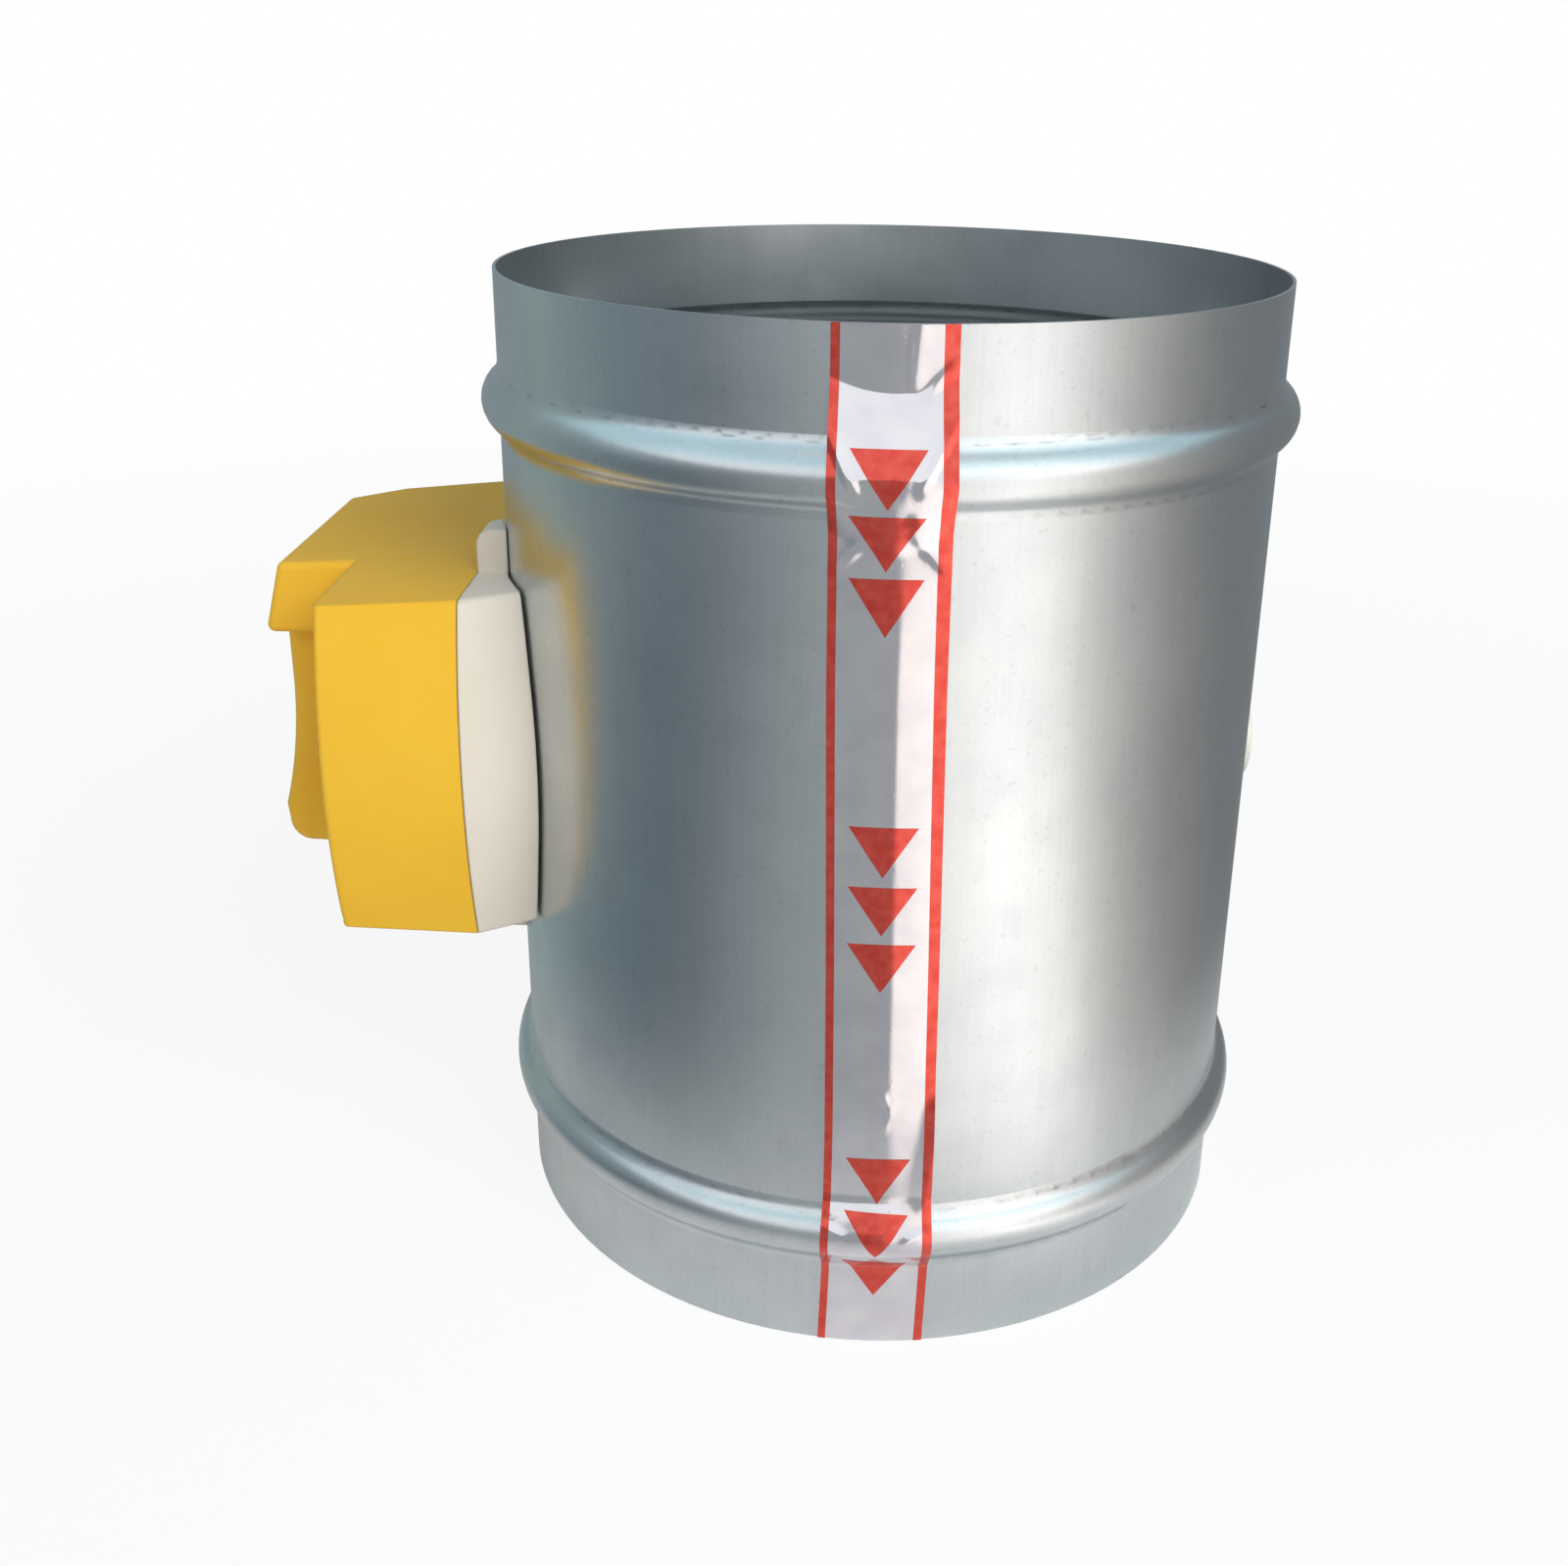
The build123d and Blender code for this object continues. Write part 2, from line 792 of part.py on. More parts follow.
with BuildPart() as blade_disc_back:
    add(blade_disc(1))
blade_disc_back.part.label = "blade_disc_back"
export_step(blade_disc_back.part, "parts/blade_disc_back.step")

# Edge seal: two half rings with a rounded lip, parted where the shaft passes
with BuildPart() as blade_seal:
    with BuildSketch(blade_plane):
        Circle(seal_radius)
        Circle(seal_radius - seal_width, mode=Mode.SUBTRACT)
    extrude(amount=seal_thickness / 2, both=True)
    lips = blade_seal.edges().filter_by(GeomType.CIRCLE).group_by(SortBy.RADIUS)[-1]
    fillet(lips, radius=seal_lip_radius)
    with BuildSketch(blade_plane):
        Rectangle(2 * beyond, 2 * (swage_outer + seat_gap))
        with Locations((notch_reach + notch_half, 0), (-notch_reach - notch_half, 0)):
            Rectangle(2 * notch_half, 2 * notch_half)
        with rim_rivet_places():
            Circle(rivet_shank + rivet_gap)
    extrude(amount=seal_thickness, both=True, mode=Mode.SUBTRACT)
blade_seal.part.label = "blade_seal"
export_step(blade_seal.part, "parts/blade_seal.step")


def rivets(places, half_grip):
    """Round-head rivets through the blade, headed on both faces."""
    dome = (rivet_head**2 + rivet_head_height**2) / (2 * rivet_head_height)
    with BuildPart() as group:
        with BuildSketch(blade_plane):
            with places():
                Circle(rivet_shank)
        extrude(amount=half_grip, both=True)
        for side in (-1, 1):
            with BuildSketch(blade_plane.offset(side * half_grip)):
                with places():
                    Circle(rivet_head)
            extrude(amount=side * rivet_head_height)
        rims = group.edges().filter_by(GeomType.CIRCLE)
        rims = rims.filter_by(lambda e: abs(e.center().Y) > half_grip + rivet_head_height / 2)
        fillet(rims, radius=rivet_head_rounding * rivet_head_height)
    return group.part


# Rivets round the rim of the blade
with BuildPart() as rim_rivets:
    add(rivets(rim_rivet_places, seal_thickness / 2 + blade_wall))
rim_rivets.part.label = "rim_rivets"
export_step(rim_rivets.part, "parts/rim_rivets.step")

# Rivets through the swages and the shaft
with BuildPart() as shaft_rivets:
    add(rivets(shaft_rivet_places, swage_outer + seat_gap))
shaft_rivets.part.label = "shaft_rivets"
export_step(shaft_rivets.part, "parts/shaft_rivets.step")

# Drive shaft, from the closed bush to the clip, with two flats for the gear and the cam
with BuildPart() as drive_shaft:
    with BuildSketch(drive_plane(shaft_end_gap - flange_reach)):
        Circle(shaft_radius)
    extrude(amount=flange_reach - shaft_end_gap + gear_reach - gear_end_gap)
    with BuildSketch(drive_plane(gear_reach - gear_end_gap)):
        add(flatted_section(0))
    extrude(amount=shaft_end_reach - gear_reach + gear_end_gap)
    chamfer(drive_shaft.faces().sort_by(Axis.X)[0].edges(), length=shaft_end_gap)
    with BuildSketch(drive_plane(clip_reach - seat_gap)):
        Circle(2 * shaft_radius)
        Circle(shaft_flat_width / 2 - clip_groove_depth, mode=Mode.SUBTRACT)
    extrude(amount=clip_thickness + 2 * seat_gap, mode=Mode.SUBTRACT)
    with BuildSketch(blade_plane):
        with shaft_rivet_places():
            Circle(rivet_shank + rivet_gap)
    extrude(amount=2 * shaft_radius, both=True, mode=Mode.SUBTRACT)
drive_shaft.part.label = "drive_shaft"
export_step(drive_shaft.part, "parts/drive_shaft.step")

# Output gear: toothed rim, web with holes, and a hub whose spigot runs in the gear plate
output_pitch = module_out * output_teeth / 2
web_middle = (output_pitch - root_depth * module_out + hub_radius) / 2
with BuildPart() as output_gear:
    with BuildSketch(drive_plane(output_reach)):
        add(gear_outline(module_out, output_teeth, 0))
        with PolarLocations(web_middle, output_web_holes):
            Circle(output_web_hole, mode=Mode.SUBTRACT)
    extrude(amount=output_width)
    with BuildSketch(drive_plane(gear_reach)):
        Circle(hub_radius)
    extrude(amount=plate_reach - gear_end_gap - gear_reach)
    with BuildSketch(drive_plane(plate_reach - gear_end_gap)):
        Circle(spigot_radius)
    extrude(amount=plate_thickness + 2 * gear_end_gap)
    with BuildSketch(drive_plane(gear_reach)):
        add(flatted_section(seat_gap))
    extrude(amount=beyond, mode=Mode.SUBTRACT)
output_gear.part.label = "output_gear"
export_step(output_gear.part, "parts/output_gear.step")

# Compound gear: a wheel driven by the motor and a pinion that drives the output gear
pinion_turn = meshed_turn(0, output_teeth, compound_direction, pinion_teeth)
with BuildPart() as compound_gear:
    with BuildSketch(drive_plane(output_reach - layer_gap / 4)):
        with Locations(compound_place):
            add(gear_outline(module_out, pinion_teeth, pinion_turn))
    extrude(amount=wheel_reach - output_reach + layer_gap / 4)
    with BuildSketch(drive_plane(wheel_reach)):
        with Locations(compound_place):
            add(gear_outline(module_in, wheel_teeth, 0))
    extrude(amount=wheel_width)
    with BuildSketch(drive_plane(gear_reach)):
        with Locations(compound_place):
            Circle(axle_radius + hub_wall / 2)
    extrude(amount=plate_reach - gear_end_gap - gear_reach)
    with BuildSketch(drive_plane(gear_reach)):
        with Locations(compound_place):
            Circle(axle_radius + gear_running_gap)
    extrude(amount=beyond, mode=Mode.SUBTRACT)
compound_gear.part.label = "compound_gear"
export_step(compound_gear.part, "parts/compound_gear.step")

# Motor pinion on its spindle, which runs in the gearbox
motor_turn = meshed_turn(0, wheel_teeth, input_direction, motor_teeth)
with BuildPart() as motor_pinion:
    with BuildSketch(drive_plane(wheel_reach - layer_gap / 4)):
        with Locations(motor_place):
            add(gear_outline(module_in, motor_teeth, motor_turn))
    extrude(amount=wheel_width + layer_gap / 2)
    with BuildSketch(drive_plane(wheel_reach)):
        with Locations(motor_place):
            Circle(motor_spindle)
    extrude(amount=plate_top + gearbox_height / 2 - wheel_reach)
motor_pinion.part.label = "motor_pinion"
export_step(motor_pinion.part, "parts/motor_pinion.step")

# Axle of the compound gear, from its boss on the base to the gear plate
boss_reach = gear_reach - gear_end_gap
axle_foot = math.sqrt((saddle_radius + base_floor) ** 2 - compound_place[0] ** 2) - saddle_axis
with BuildPart() as gear_axle:
    with BuildSketch(drive_plane(axle_foot)):
        with Locations(compound_place):
            Circle(axle_radius)
    extrude(amount=plate_top - axle_foot)
gear_axle.part.label = "gear_axle"
export_step(gear_axle.part, "parts/gear_axle.step")

# Actuator base: a saddle shell with four fixing ears, pillars, posts, columns and a rim tongue
with BuildPart() as base_hollow:
    with BuildSketch(drive_plane(deep_reach)):
        add(housing_outline(shell_wall))
    extrude(amount=cover_reach - deep_reach)
    with BuildSketch(Plane.XY):
        with Locations((saddle_axis, 0)):
            Circle(saddle_radius + base_floor)
    extrude(amount=2 * duct_length, both=True, mode=Mode.SUBTRACT)
with BuildPart() as fixing_ears:
    with BuildSketch(side_plane) as ears:
        for top, foot in (
            (housing_above + ear_above, housing_above - 2 * base_floor),
            (-housing_below - ear_below, 2 * base_floor - housing_below),
        ):
            with BuildLine():
                Polyline(
                    (deep_reach, foot), (split_reach, foot), (split_reach, top),
                    (deep_reach, top), close=True,
                )
            make_face()
        tips = ears.vertices().filter_by(lambda v: abs(v.X - split_reach) < seat_gap)
        tips = tips.sort_by(Axis.Y)
        fillet([tips[0], tips[-1]], radius=ear_corner)
    extrude(amount=ear_half, both=True)
    with BuildSketch(drive_plane(deep_reach)):
        Rectangle(2 * (ear_half - ear_width), beyond)
    extrude(amount=beyond, mode=Mode.SUBTRACT)
    with BuildSketch(Plane.XY):
        Circle(back_reach)
    extrude(amount=2 * duct_length, both=True, mode=Mode.SUBTRACT)
    add(base_hollow.part, mode=Mode.SUBTRACT)
with BuildPart() as actuator_base:
    with BuildSketch(drive_plane(deep_reach)):
        add(housing_outline(0))
    extrude(amount=split_reach - deep_reach)
    add(base_hollow.part, mode=Mode.SUBTRACT)
    with BuildSketch(drive_plane(deep_reach)):
        with Locations(cover_screw_places):
            Circle(cover_column)
    extrude(amount=split_reach - deep_reach)
    with BuildSketch(drive_plane(deep_reach)):
        with Locations(pillar_places):
            Circle(pillar_radius)
    extrude(amount=plate_reach - deep_reach)
    with BuildSketch(drive_plane(deep_reach)):
        with Locations(board_posts):
            Circle(board_post_radius)
    extrude(amount=board_reach - deep_reach)
    with BuildSketch(drive_plane(deep_reach)):
        with Locations(compound_place):
            Circle(axle_radius + hub_wall / 2)
    extrude(amount=boss_reach - deep_reach)
    with BuildSketch(drive_plane(split_reach)):
        add(housing_outline(shell_wall / 2 + rim_tongue_gap))
        add(housing_outline(shell_wall), mode=Mode.SUBTRACT)
    extrude(amount=rim_tongue_height)
    with BuildSketch(Plane.XY):
        with Locations((saddle_axis, 0)):
            Circle(saddle_radius)
    extrude(amount=2 * duct_length, both=True, mode=Mode.SUBTRACT)
    add(fixing_ears.part)
    with BuildSketch(drive_plane(0)):
        Circle(bush_radius + bush_flange / 2 + bush_clearance)
        with Locations(fixing_places):
            Circle(fixing_screw_shank + screw_gap)
    extrude(amount=beyond, mode=Mode.SUBTRACT)
    add(sunk_heads(), mode=Mode.SUBTRACT)
    with BuildSketch(drive_plane(axle_foot)):
        with Locations(compound_place):
            Circle(axle_radius + screw_gap)
    extrude(amount=beyond, mode=Mode.SUBTRACT)
    with BuildSketch(drive_plane(plate_reach)):
        with Locations(pillar_places):
            Circle(small_screw_shank + screw_gap)
    extrude(amount=-pillar_screw_grip, mode=Mode.SUBTRACT)
    with BuildSketch(drive_plane(board_reach)):
        with Locations(board_posts):
            Circle(board_screw_shank + screw_gap)
    extrude(amount=-pillar_screw_grip, mode=Mode.SUBTRACT)
    with BuildSketch(drive_plane(split_reach)):
        with Locations(cover_screw_places):
            Circle(cover_screw_shank + screw_gap)
    extrude(amount=-cover_screw_grip, mode=Mode.SUBTRACT)
actuator_base.part.label = "actuator_base"
export_step(actuator_base.part, "parts/actuator_base.step")

gland_plane = Plane(
    origin=(-gland_reach, -gland_near, shaft_height - housing_below),
    x_dir=(1, 0, 0),
    z_dir=(0, 0, -1),
)

# Actuator cover: a stepped shell with a hooded, waisted block over the motor
with BuildPart() as cover_outside:
    add(cover_form(0, cover_reach))
    outer = cover_outside.edges()
    hood = outer.filter_by(lambda e: abs(e.center().Y + cap_near) < seat_gap)
    hood = hood.filter_by(lambda e: e.center().X < -strip_reach - seat_gap)
    lips = outer.filter_by(lambda e: e.length > 2 * cap_height and e.center().Z > shaft_height)
    hood += lips.filter_by(lambda e: abs(e.center().X + cap_top_reach) < split_gap)
    hood += lips.filter_by(lambda e: abs(e.center().X + cap_face_reach) < split_gap)
    fillet(hood, radius=hood_edge)
    tier = cover_outside.edges().filter_by(lambda e: abs(e.center().X + strip_reach) < seat_gap)
    tier = tier.filter_by(lambda e: e.center().Y < -cap_near - hood_edge)
    tier = tier.filter_by(lambda e: e.center().Z < shaft_height + cap_height)
    fillet(tier, radius=tier_edge)
with BuildPart() as cover_columns:
    with BuildSketch(drive_plane(cover_reach)):
        with Locations(cover_screw_places):
            Circle(cover_column)
    extrude(amount=beyond)
    add(cover_outside.part, mode=Mode.INTERSECT)
with BuildPart() as actuator_cover:
    add(cover_outside.part)
    with BuildSketch(gland_plane):
        Circle(gland_seat)
    extrude(amount=-shell_wall)
    add(cover_form(shell_wall, split_reach), mode=Mode.SUBTRACT)
    add(cover_columns.part)
    with BuildSketch(drive_plane(split_reach)):
        add(housing_outline(shell_wall / 2))
        with Locations(cover_screw_places):
            Circle(cover_column, mode=Mode.SUBTRACT)
    extrude(amount=rim_tongue_height + split_gap, mode=Mode.SUBTRACT)
    with BuildSketch(drive_plane(split_reach)):
        with Locations(cover_screw_places):
            Circle(cover_screw_shank + screw_gap)
    extrude(amount=beyond, mode=Mode.SUBTRACT)
    with BuildSketch(drive_plane(cover_seat_reach)):
        with Locations(cover_screw_places):
            Circle(cover_screw_head + cover_head_gap)
    extrude(amount=beyond, mode=Mode.SUBTRACT)
    with BuildSketch(gland_plane):
        Circle(gland_thread + gland_hole_gap)
    extrude(amount=2 * base_floor, both=True, mode=Mode.SUBTRACT)
actuator_cover.part.label = "actuator_cover"
export_step(actuator_cover.part, "parts/actuator_cover.step")

# Flush screws that hold the base to the duct
with BuildPart() as base_fixing_screws:
    add(sunk_heads())
    with BuildSketch(drive_plane(split_reach)):
        with Locations(fixing_places):
            Circle(fixing_screw_shank)
    extrude(amount=-fixing_screw_length)
base_fixing_screws.part.label = "base_fixing_screws"
export_step(base_fixing_screws.part, "parts/base_fixing_screws.step")

# Screws that hold the cover to the base, sunk in the cover's columns
with BuildPart() as cover_screws:
    add(
        screw(
            drive_plane(cover_seat_reach), cover_screw_places, cover_screw_shank,
            cover_screw_head, cover_screw_head_height,
            cover_seat_depth + cover_screw_grip - screw_tip_gap,
        )
    )
cover_screws.part.label = "cover_screws"
export_step(cover_screws.part, "parts/cover_screws.step")


def motor_screw_locations():
    return PolarLocations(motor_screw_circle, 3, start_angle=motor_screw_start)


# Gear plate, on the pillars of the base
plate_middle = ((pillar_near - pillar_far) / 2, (pillar_above - pillar_below) / 2)
plate_size = (
    pillar_near + pillar_far + 2 * plate_margin,
    pillar_above + pillar_below + 2 * plate_margin,
)
with BuildPart() as gear_plate:
    with BuildSketch(drive_plane(plate_reach)):
        with Locations(plate_middle):
            RectangleRounded(*plate_size, radius=plate_corner)
        Circle(spigot_radius + gear_running_gap, mode=Mode.SUBTRACT)
        with Locations(compound_place):
            Circle(axle_radius + seat_gap, mode=Mode.SUBTRACT)
        with Locations(pillar_places):
            Circle(small_screw_shank + rivet_gap, mode=Mode.SUBTRACT)
        with Locations(motor_place):
            Circle(motor_clear_hole, mode=Mode.SUBTRACT)
            with motor_screw_locations():
                Circle(small_screw_shank + rivet_gap, mode=Mode.SUBTRACT)
    extrude(amount=plate_thickness)
gear_plate.part.label = "gear_plate"
export_step(gear_plate.part, "parts/gear_plate.step")

# Screws that hold the gear plate on its pillars
with BuildPart() as plate_screws:
    add(
        screw(
            drive_plane(plate_top), pillar_places, small_screw_shank, small_screw_head,
            small_screw_head_height, pillar_screw_grip,
        )
    )
plate_screws.part.label = "plate_screws"
export_step(plate_screws.part, "parts/plate_screws.step")

# Gearbox of the geared motor, on the outer side of the gear plate
with BuildPart() as motor_gearbox:
    with BuildSketch(drive_plane(plate_top)):
        with Locations(motor_place):
            Circle(gearbox_radius)
    extrude(amount=gearbox_height)
    fillet(motor_gearbox.faces().sort_by(Axis.X)[0].edges(), radius=gearbox_edge)
    with BuildSketch(drive_plane(plate_top)):
        with Locations(motor_place):
            Circle(motor_spindle + gear_running_gap)
            with motor_screw_locations():
                Circle(small_screw_shank + screw_gap)
    extrude(amount=gearbox_height / 2 + motor_spindle_gap, mode=Mode.SUBTRACT)
motor_gearbox.part.label = "motor_gearbox"
export_step(motor_gearbox.part, "parts/motor_gearbox.step")

# Can of the motor, on its gearbox
can_reach = plate_top + gearbox_height
with BuildPart() as motor_can:
    with BuildSketch(drive_plane(can_reach)):
        with Locations(motor_place):
            Circle(can_radius)
    extrude(amount=can_height)
    fillet(motor_can.faces().sort_by(Axis.X)[0].edges(), radius=can_edge)
motor_can.part.label = "motor_can"
export_step(motor_can.part, "parts/motor_can.step")

# Screws that hold the gearbox, from the duct side of the gear plate
plate_back = Plane(origin=(-plate_reach, 0, shaft_height), x_dir=(0, -1, 0), z_dir=(1, 0, 0))
motor_screw_places = [
    (
        motor_place[0] + motor_screw_circle * math.cos(math.radians(angle)),
        -motor_place[1] - motor_screw_circle * math.sin(math.radians(angle)),
    )
    for angle in (motor_screw_start, motor_screw_start + 120, motor_screw_start + 240)
]
with BuildPart() as motor_screws:
    add(
        screw(
            plate_back, motor_screw_places, small_screw_shank, small_screw_head,
            small_screw_head_height, motor_screw_grip,
        )
    )
motor_screws.part.label = "motor_screws"
export_step(motor_screws.part, "parts/motor_screws.step")

# Limit cam, whose lobe presses one switch at each end of the blade's travel
with BuildPart() as limit_cam:
    with BuildSketch(drive_plane(cam_reach)) as cam_outline:
        with PolarLocations(cam_lobe / 2, 1, start_angle=cam_rest_angle):
            Rectangle(cam_lobe, cam_lobe_width)
        Circle(cam_lobe, mode=Mode.INTERSECT)
        tips = cam_outline.vertices().filter_by(lambda v: math.hypot(v.X, v.Y) > cam_lobe - 0.1)
        fillet(tips, radius=cam_tip_corner)
        Circle(cam_hub)
        add(flatted_section(seat_gap), mode=Mode.SUBTRACT)
    extrude(amount=cam_thickness)
limit_cam.part.label = "limit_cam"
export_step(limit_cam.part, "parts/limit_cam.step")


def limit_switch(angle):
    """Switch on the gear plate with its plunger towards the cam, at `angle` round the shaft."""
    face = cam_lobe + cam_gap + plunger_length
    lean = math.radians(angle)
    middle = cam_reach + cam_thickness / 2
    with BuildPart() as switch:
        with BuildSketch(drive_plane(plate_top)):
            with PolarLocations(face + switch_depth / 2, 1, start_angle=angle):
                Rectangle(switch_depth, switch_length)
                with Locations((0, switch_hole_spacing / 2), (0, -switch_hole_spacing / 2)):
                    Circle(switch_hole, mode=Mode.SUBTRACT)
        extrude(amount=switch_height)
        with BuildSketch(
            Plane(
                origin=(-middle, -face * math.cos(lean), shaft_height + face * math.sin(lean)),
                z_dir=(0, math.cos(lean), -math.sin(lean)),
            )
        ):
            Circle(plunger_radius)
        extrude(amount=plunger_length)
    return switch.part


# Switch that ends the opening travel
with BuildPart() as opening_switch:
    add(limit_switch(cam_rest_angle))
opening_switch.part.label = "opening_switch"
export_step(opening_switch.part, "parts/opening_switch.step")

# Switch that ends the closing travel
with BuildPart() as closing_switch:
    add(limit_switch(-cam_rest_angle))
closing_switch.part.label = "closing_switch"
export_step(closing_switch.part, "parts/closing_switch.step")

# Open retaining clip in the shaft's groove
clip_inner = shaft_flat_width / 2 - clip_groove_depth + seat_gap
with BuildPart() as shaft_clip:
    with BuildSketch(drive_plane(clip_reach)):
        Circle(clip_radius)
        Circle(clip_inner, mode=Mode.SUBTRACT)
        with Locations((-clip_radius, 0)):
            Rectangle(2 * clip_radius, clip_opening, mode=Mode.SUBTRACT)
    extrude(amount=clip_thickness)
shaft_clip.part.label = "shaft_clip"
export_step(shaft_clip.part, "parts/shaft_clip.step")

# Control board, on the posts of the base
with BuildPart() as control_board:
    with BuildSketch(drive_plane(board_reach)):
        with Locations(((board_near + board_far) / 2, (board_above - board_below) / 2)):
            Rectangle(board_near - board_far, board_above + board_below)
        with Locations(board_posts):
            Circle(board_screw_shank + rivet_gap, mode=Mode.SUBTRACT)
    extrude(amount=board_thickness)
control_board.part.label = "control_board"
export_step(control_board.part, "parts/control_board.step")

# Screws that hold the control board
with BuildPart() as board_screws:
    add(
        screw(
            drive_plane(board_top), board_posts, board_screw_shank, board_screw_head,
            board_screw_head_height, board_screw_grip,
        )
    )
board_screws.part.label = "board_screws"
export_step(board_screws.part, "parts/board_screws.step")

# Relay
with BuildPart() as relay:
    with BuildSketch(drive_plane(board_top)):
        with Locations(relay_place):
            Rectangle(relay_size[0], relay_size[1])
    extrude(amount=relay_size[2])
    fillet(relay.faces().sort_by(Axis.X)[0].edges(), radius=relay_edge)
relay.part.label = "relay"
export_step(relay.part, "parts/relay.step")

# Capacitor
with BuildPart() as capacitor:
    with BuildSketch(drive_plane(board_top)):
        with Locations(capacitor_place):
            Circle(capacitor_radius)
    extrude(amount=capacitor_height)
    fillet(capacitor.faces().sort_by(Axis.X)[0].edges(), radius=capacitor_edge)
capacitor.part.label = "capacitor"
export_step(capacitor.part, "parts/capacitor.step")

# Terminal block with a screw well and a wire hole for each pole
terminal_entry = Plane(
    origin=(
        -board_top - terminal_entry_rise,
        -terminal_place[0] + terminal_size[0] / 2,
        shaft_height + terminal_place[1],
    ),
    x_dir=(0, 0, 1),
    z_dir=(0, 1, 0),
)
with BuildPart() as terminal_block:
    with BuildSketch(drive_plane(board_top)):
        with Locations(terminal_place):
            Rectangle(terminal_size[0], terminal_size[1])
    extrude(amount=terminal_size[2])
    with BuildSketch(drive_plane(board_top + terminal_size[2])):
        with Locations(terminal_place):
            with GridLocations(1, terminal_step, 1, terminal_poles):
                Circle(terminal_screw)
    extrude(amount=-terminal_well_depth, mode=Mode.SUBTRACT)
    with BuildSketch(terminal_entry):
        with GridLocations(terminal_step, 1, terminal_poles, 1):
            Circle(terminal_hole)
    extrude(amount=-terminal_hole_depth, mode=Mode.SUBTRACT)
terminal_block.part.label = "terminal_block"
export_step(terminal_block.part, "parts/terminal_block.step")

# Body of the cable gland, through the cover's lower wall
nut_seat = bottom_at(gland_reach + gland_seat) + shell_wall + housing_below
with BuildPart() as gland_body:
    with BuildSketch(gland_plane.offset(-nut_seat - gland_nut_thickness - gland_thread_spare)):
        Circle(gland_thread)
    extrude(amount=nut_seat + gland_nut_thickness + gland_thread_spare)
    with BuildSketch(gland_plane):
        RegularPolygon(gland_flats / 2, 6, major_radius=False)
    extrude(amount=gland_flange_thickness)
    with BuildSketch(gland_plane.offset(gland_flange_thickness)):
        Circle(gland_spigot)
    extrude(amount=gland_spigot_length)
    with BuildSketch(gland_plane):
        Circle(gland_bore)
    extrude(amount=2 * gland_cap_radius, both=True, mode=Mode.SUBTRACT)
gland_body.part.label = "gland_body"
export_step(gland_body.part, "parts/gland_body.step")

# Domed cap of the cable gland
cap_length = gland_spigot_length + gland_cap_end + seat_gap
with BuildPart() as gland_cap:
    with BuildSketch(gland_plane.offset(gland_flange_thickness)):
        Circle(gland_cap_radius)
    extrude(amount=cap_length)
    fillet(gland_cap.faces().sort_by(Axis.Z)[0].edges(), radius=gland_cap_dome)
    with BuildSketch(gland_plane.offset(gland_flange_thickness)):
        Circle(gland_spigot + seat_gap)
    extrude(amount=gland_spigot_length + seat_gap, mode=Mode.SUBTRACT)
    with BuildSketch(gland_plane):
        Circle(gland_bore - gland_lip)
    extrude(amount=2 * cap_length, mode=Mode.SUBTRACT)
gland_cap.part.label = "gland_cap"
export_step(gland_cap.part, "parts/gland_cap.step")

# Nut of the cable gland, inside the cover
with BuildPart() as gland_nut:
    with BuildSketch(gland_plane.offset(-nut_seat - gland_nut_thickness)):
        RegularPolygon(gland_flats / 2, 6, major_radius=False)
        Circle(gland_thread + seat_gap, mode=Mode.SUBTRACT)
    extrude(amount=gland_nut_thickness)
gland_nut.part.label = "gland_nut"
export_step(gland_nut.part, "parts/gland_nut.step")

# Sealing insert of the cable gland
with BuildPart() as gland_seal:
    with BuildSketch(gland_plane.offset(gland_flange_thickness + gland_spigot_length)):
        Circle(gland_bore - seat_gap)
        Circle(gland_seal_bore, mode=Mode.SUBTRACT)
    extrude(amount=-gland_seal_length)
gland_seal.part.label = "gland_seal"
export_step(gland_seal.part, "parts/gland_seal.step")
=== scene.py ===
"""Motorized air damper for a round duct: finishes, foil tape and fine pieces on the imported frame.

Everything is in metres in the frame's own axes. The duct stands on the floor along +Z, the
actuator stands out towards -X, and the foil tape runs down the side that faces -Y.
"""

import json
import logging
import math
from dataclasses import dataclass
from enum import Enum

import bmesh
import bpy
from mathutils import Matrix, Vector, noise


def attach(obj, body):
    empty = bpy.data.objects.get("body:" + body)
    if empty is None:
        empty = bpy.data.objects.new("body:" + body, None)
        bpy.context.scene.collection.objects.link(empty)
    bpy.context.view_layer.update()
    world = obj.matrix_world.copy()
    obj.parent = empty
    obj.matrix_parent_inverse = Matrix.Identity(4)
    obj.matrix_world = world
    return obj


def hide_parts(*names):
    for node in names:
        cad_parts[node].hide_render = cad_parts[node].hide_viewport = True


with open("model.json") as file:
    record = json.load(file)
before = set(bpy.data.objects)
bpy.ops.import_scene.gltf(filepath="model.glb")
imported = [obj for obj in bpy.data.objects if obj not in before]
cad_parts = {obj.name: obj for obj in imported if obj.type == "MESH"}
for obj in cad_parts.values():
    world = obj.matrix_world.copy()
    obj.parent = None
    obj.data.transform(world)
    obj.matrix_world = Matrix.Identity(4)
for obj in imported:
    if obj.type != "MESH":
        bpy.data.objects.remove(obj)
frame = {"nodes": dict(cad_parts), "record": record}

MM = 0.001
HAIR = 0.0001 * MM
NOISE_LOW, NOISE_HIGH = 0.3, 0.7  # Blender's noise seldom goes beyond these
LOG = logging.getLogger("air_damper")

Node = bpy.types.Node
Socket = bpy.types.NodeSocket
Shape = bmesh.types.BMesh
Vert = bmesh.types.BMVert
Piece = bpy.types.Object
Colour = tuple[float, float, float, float]
Triple = tuple[float, float, float]
Pair = tuple[float, float]


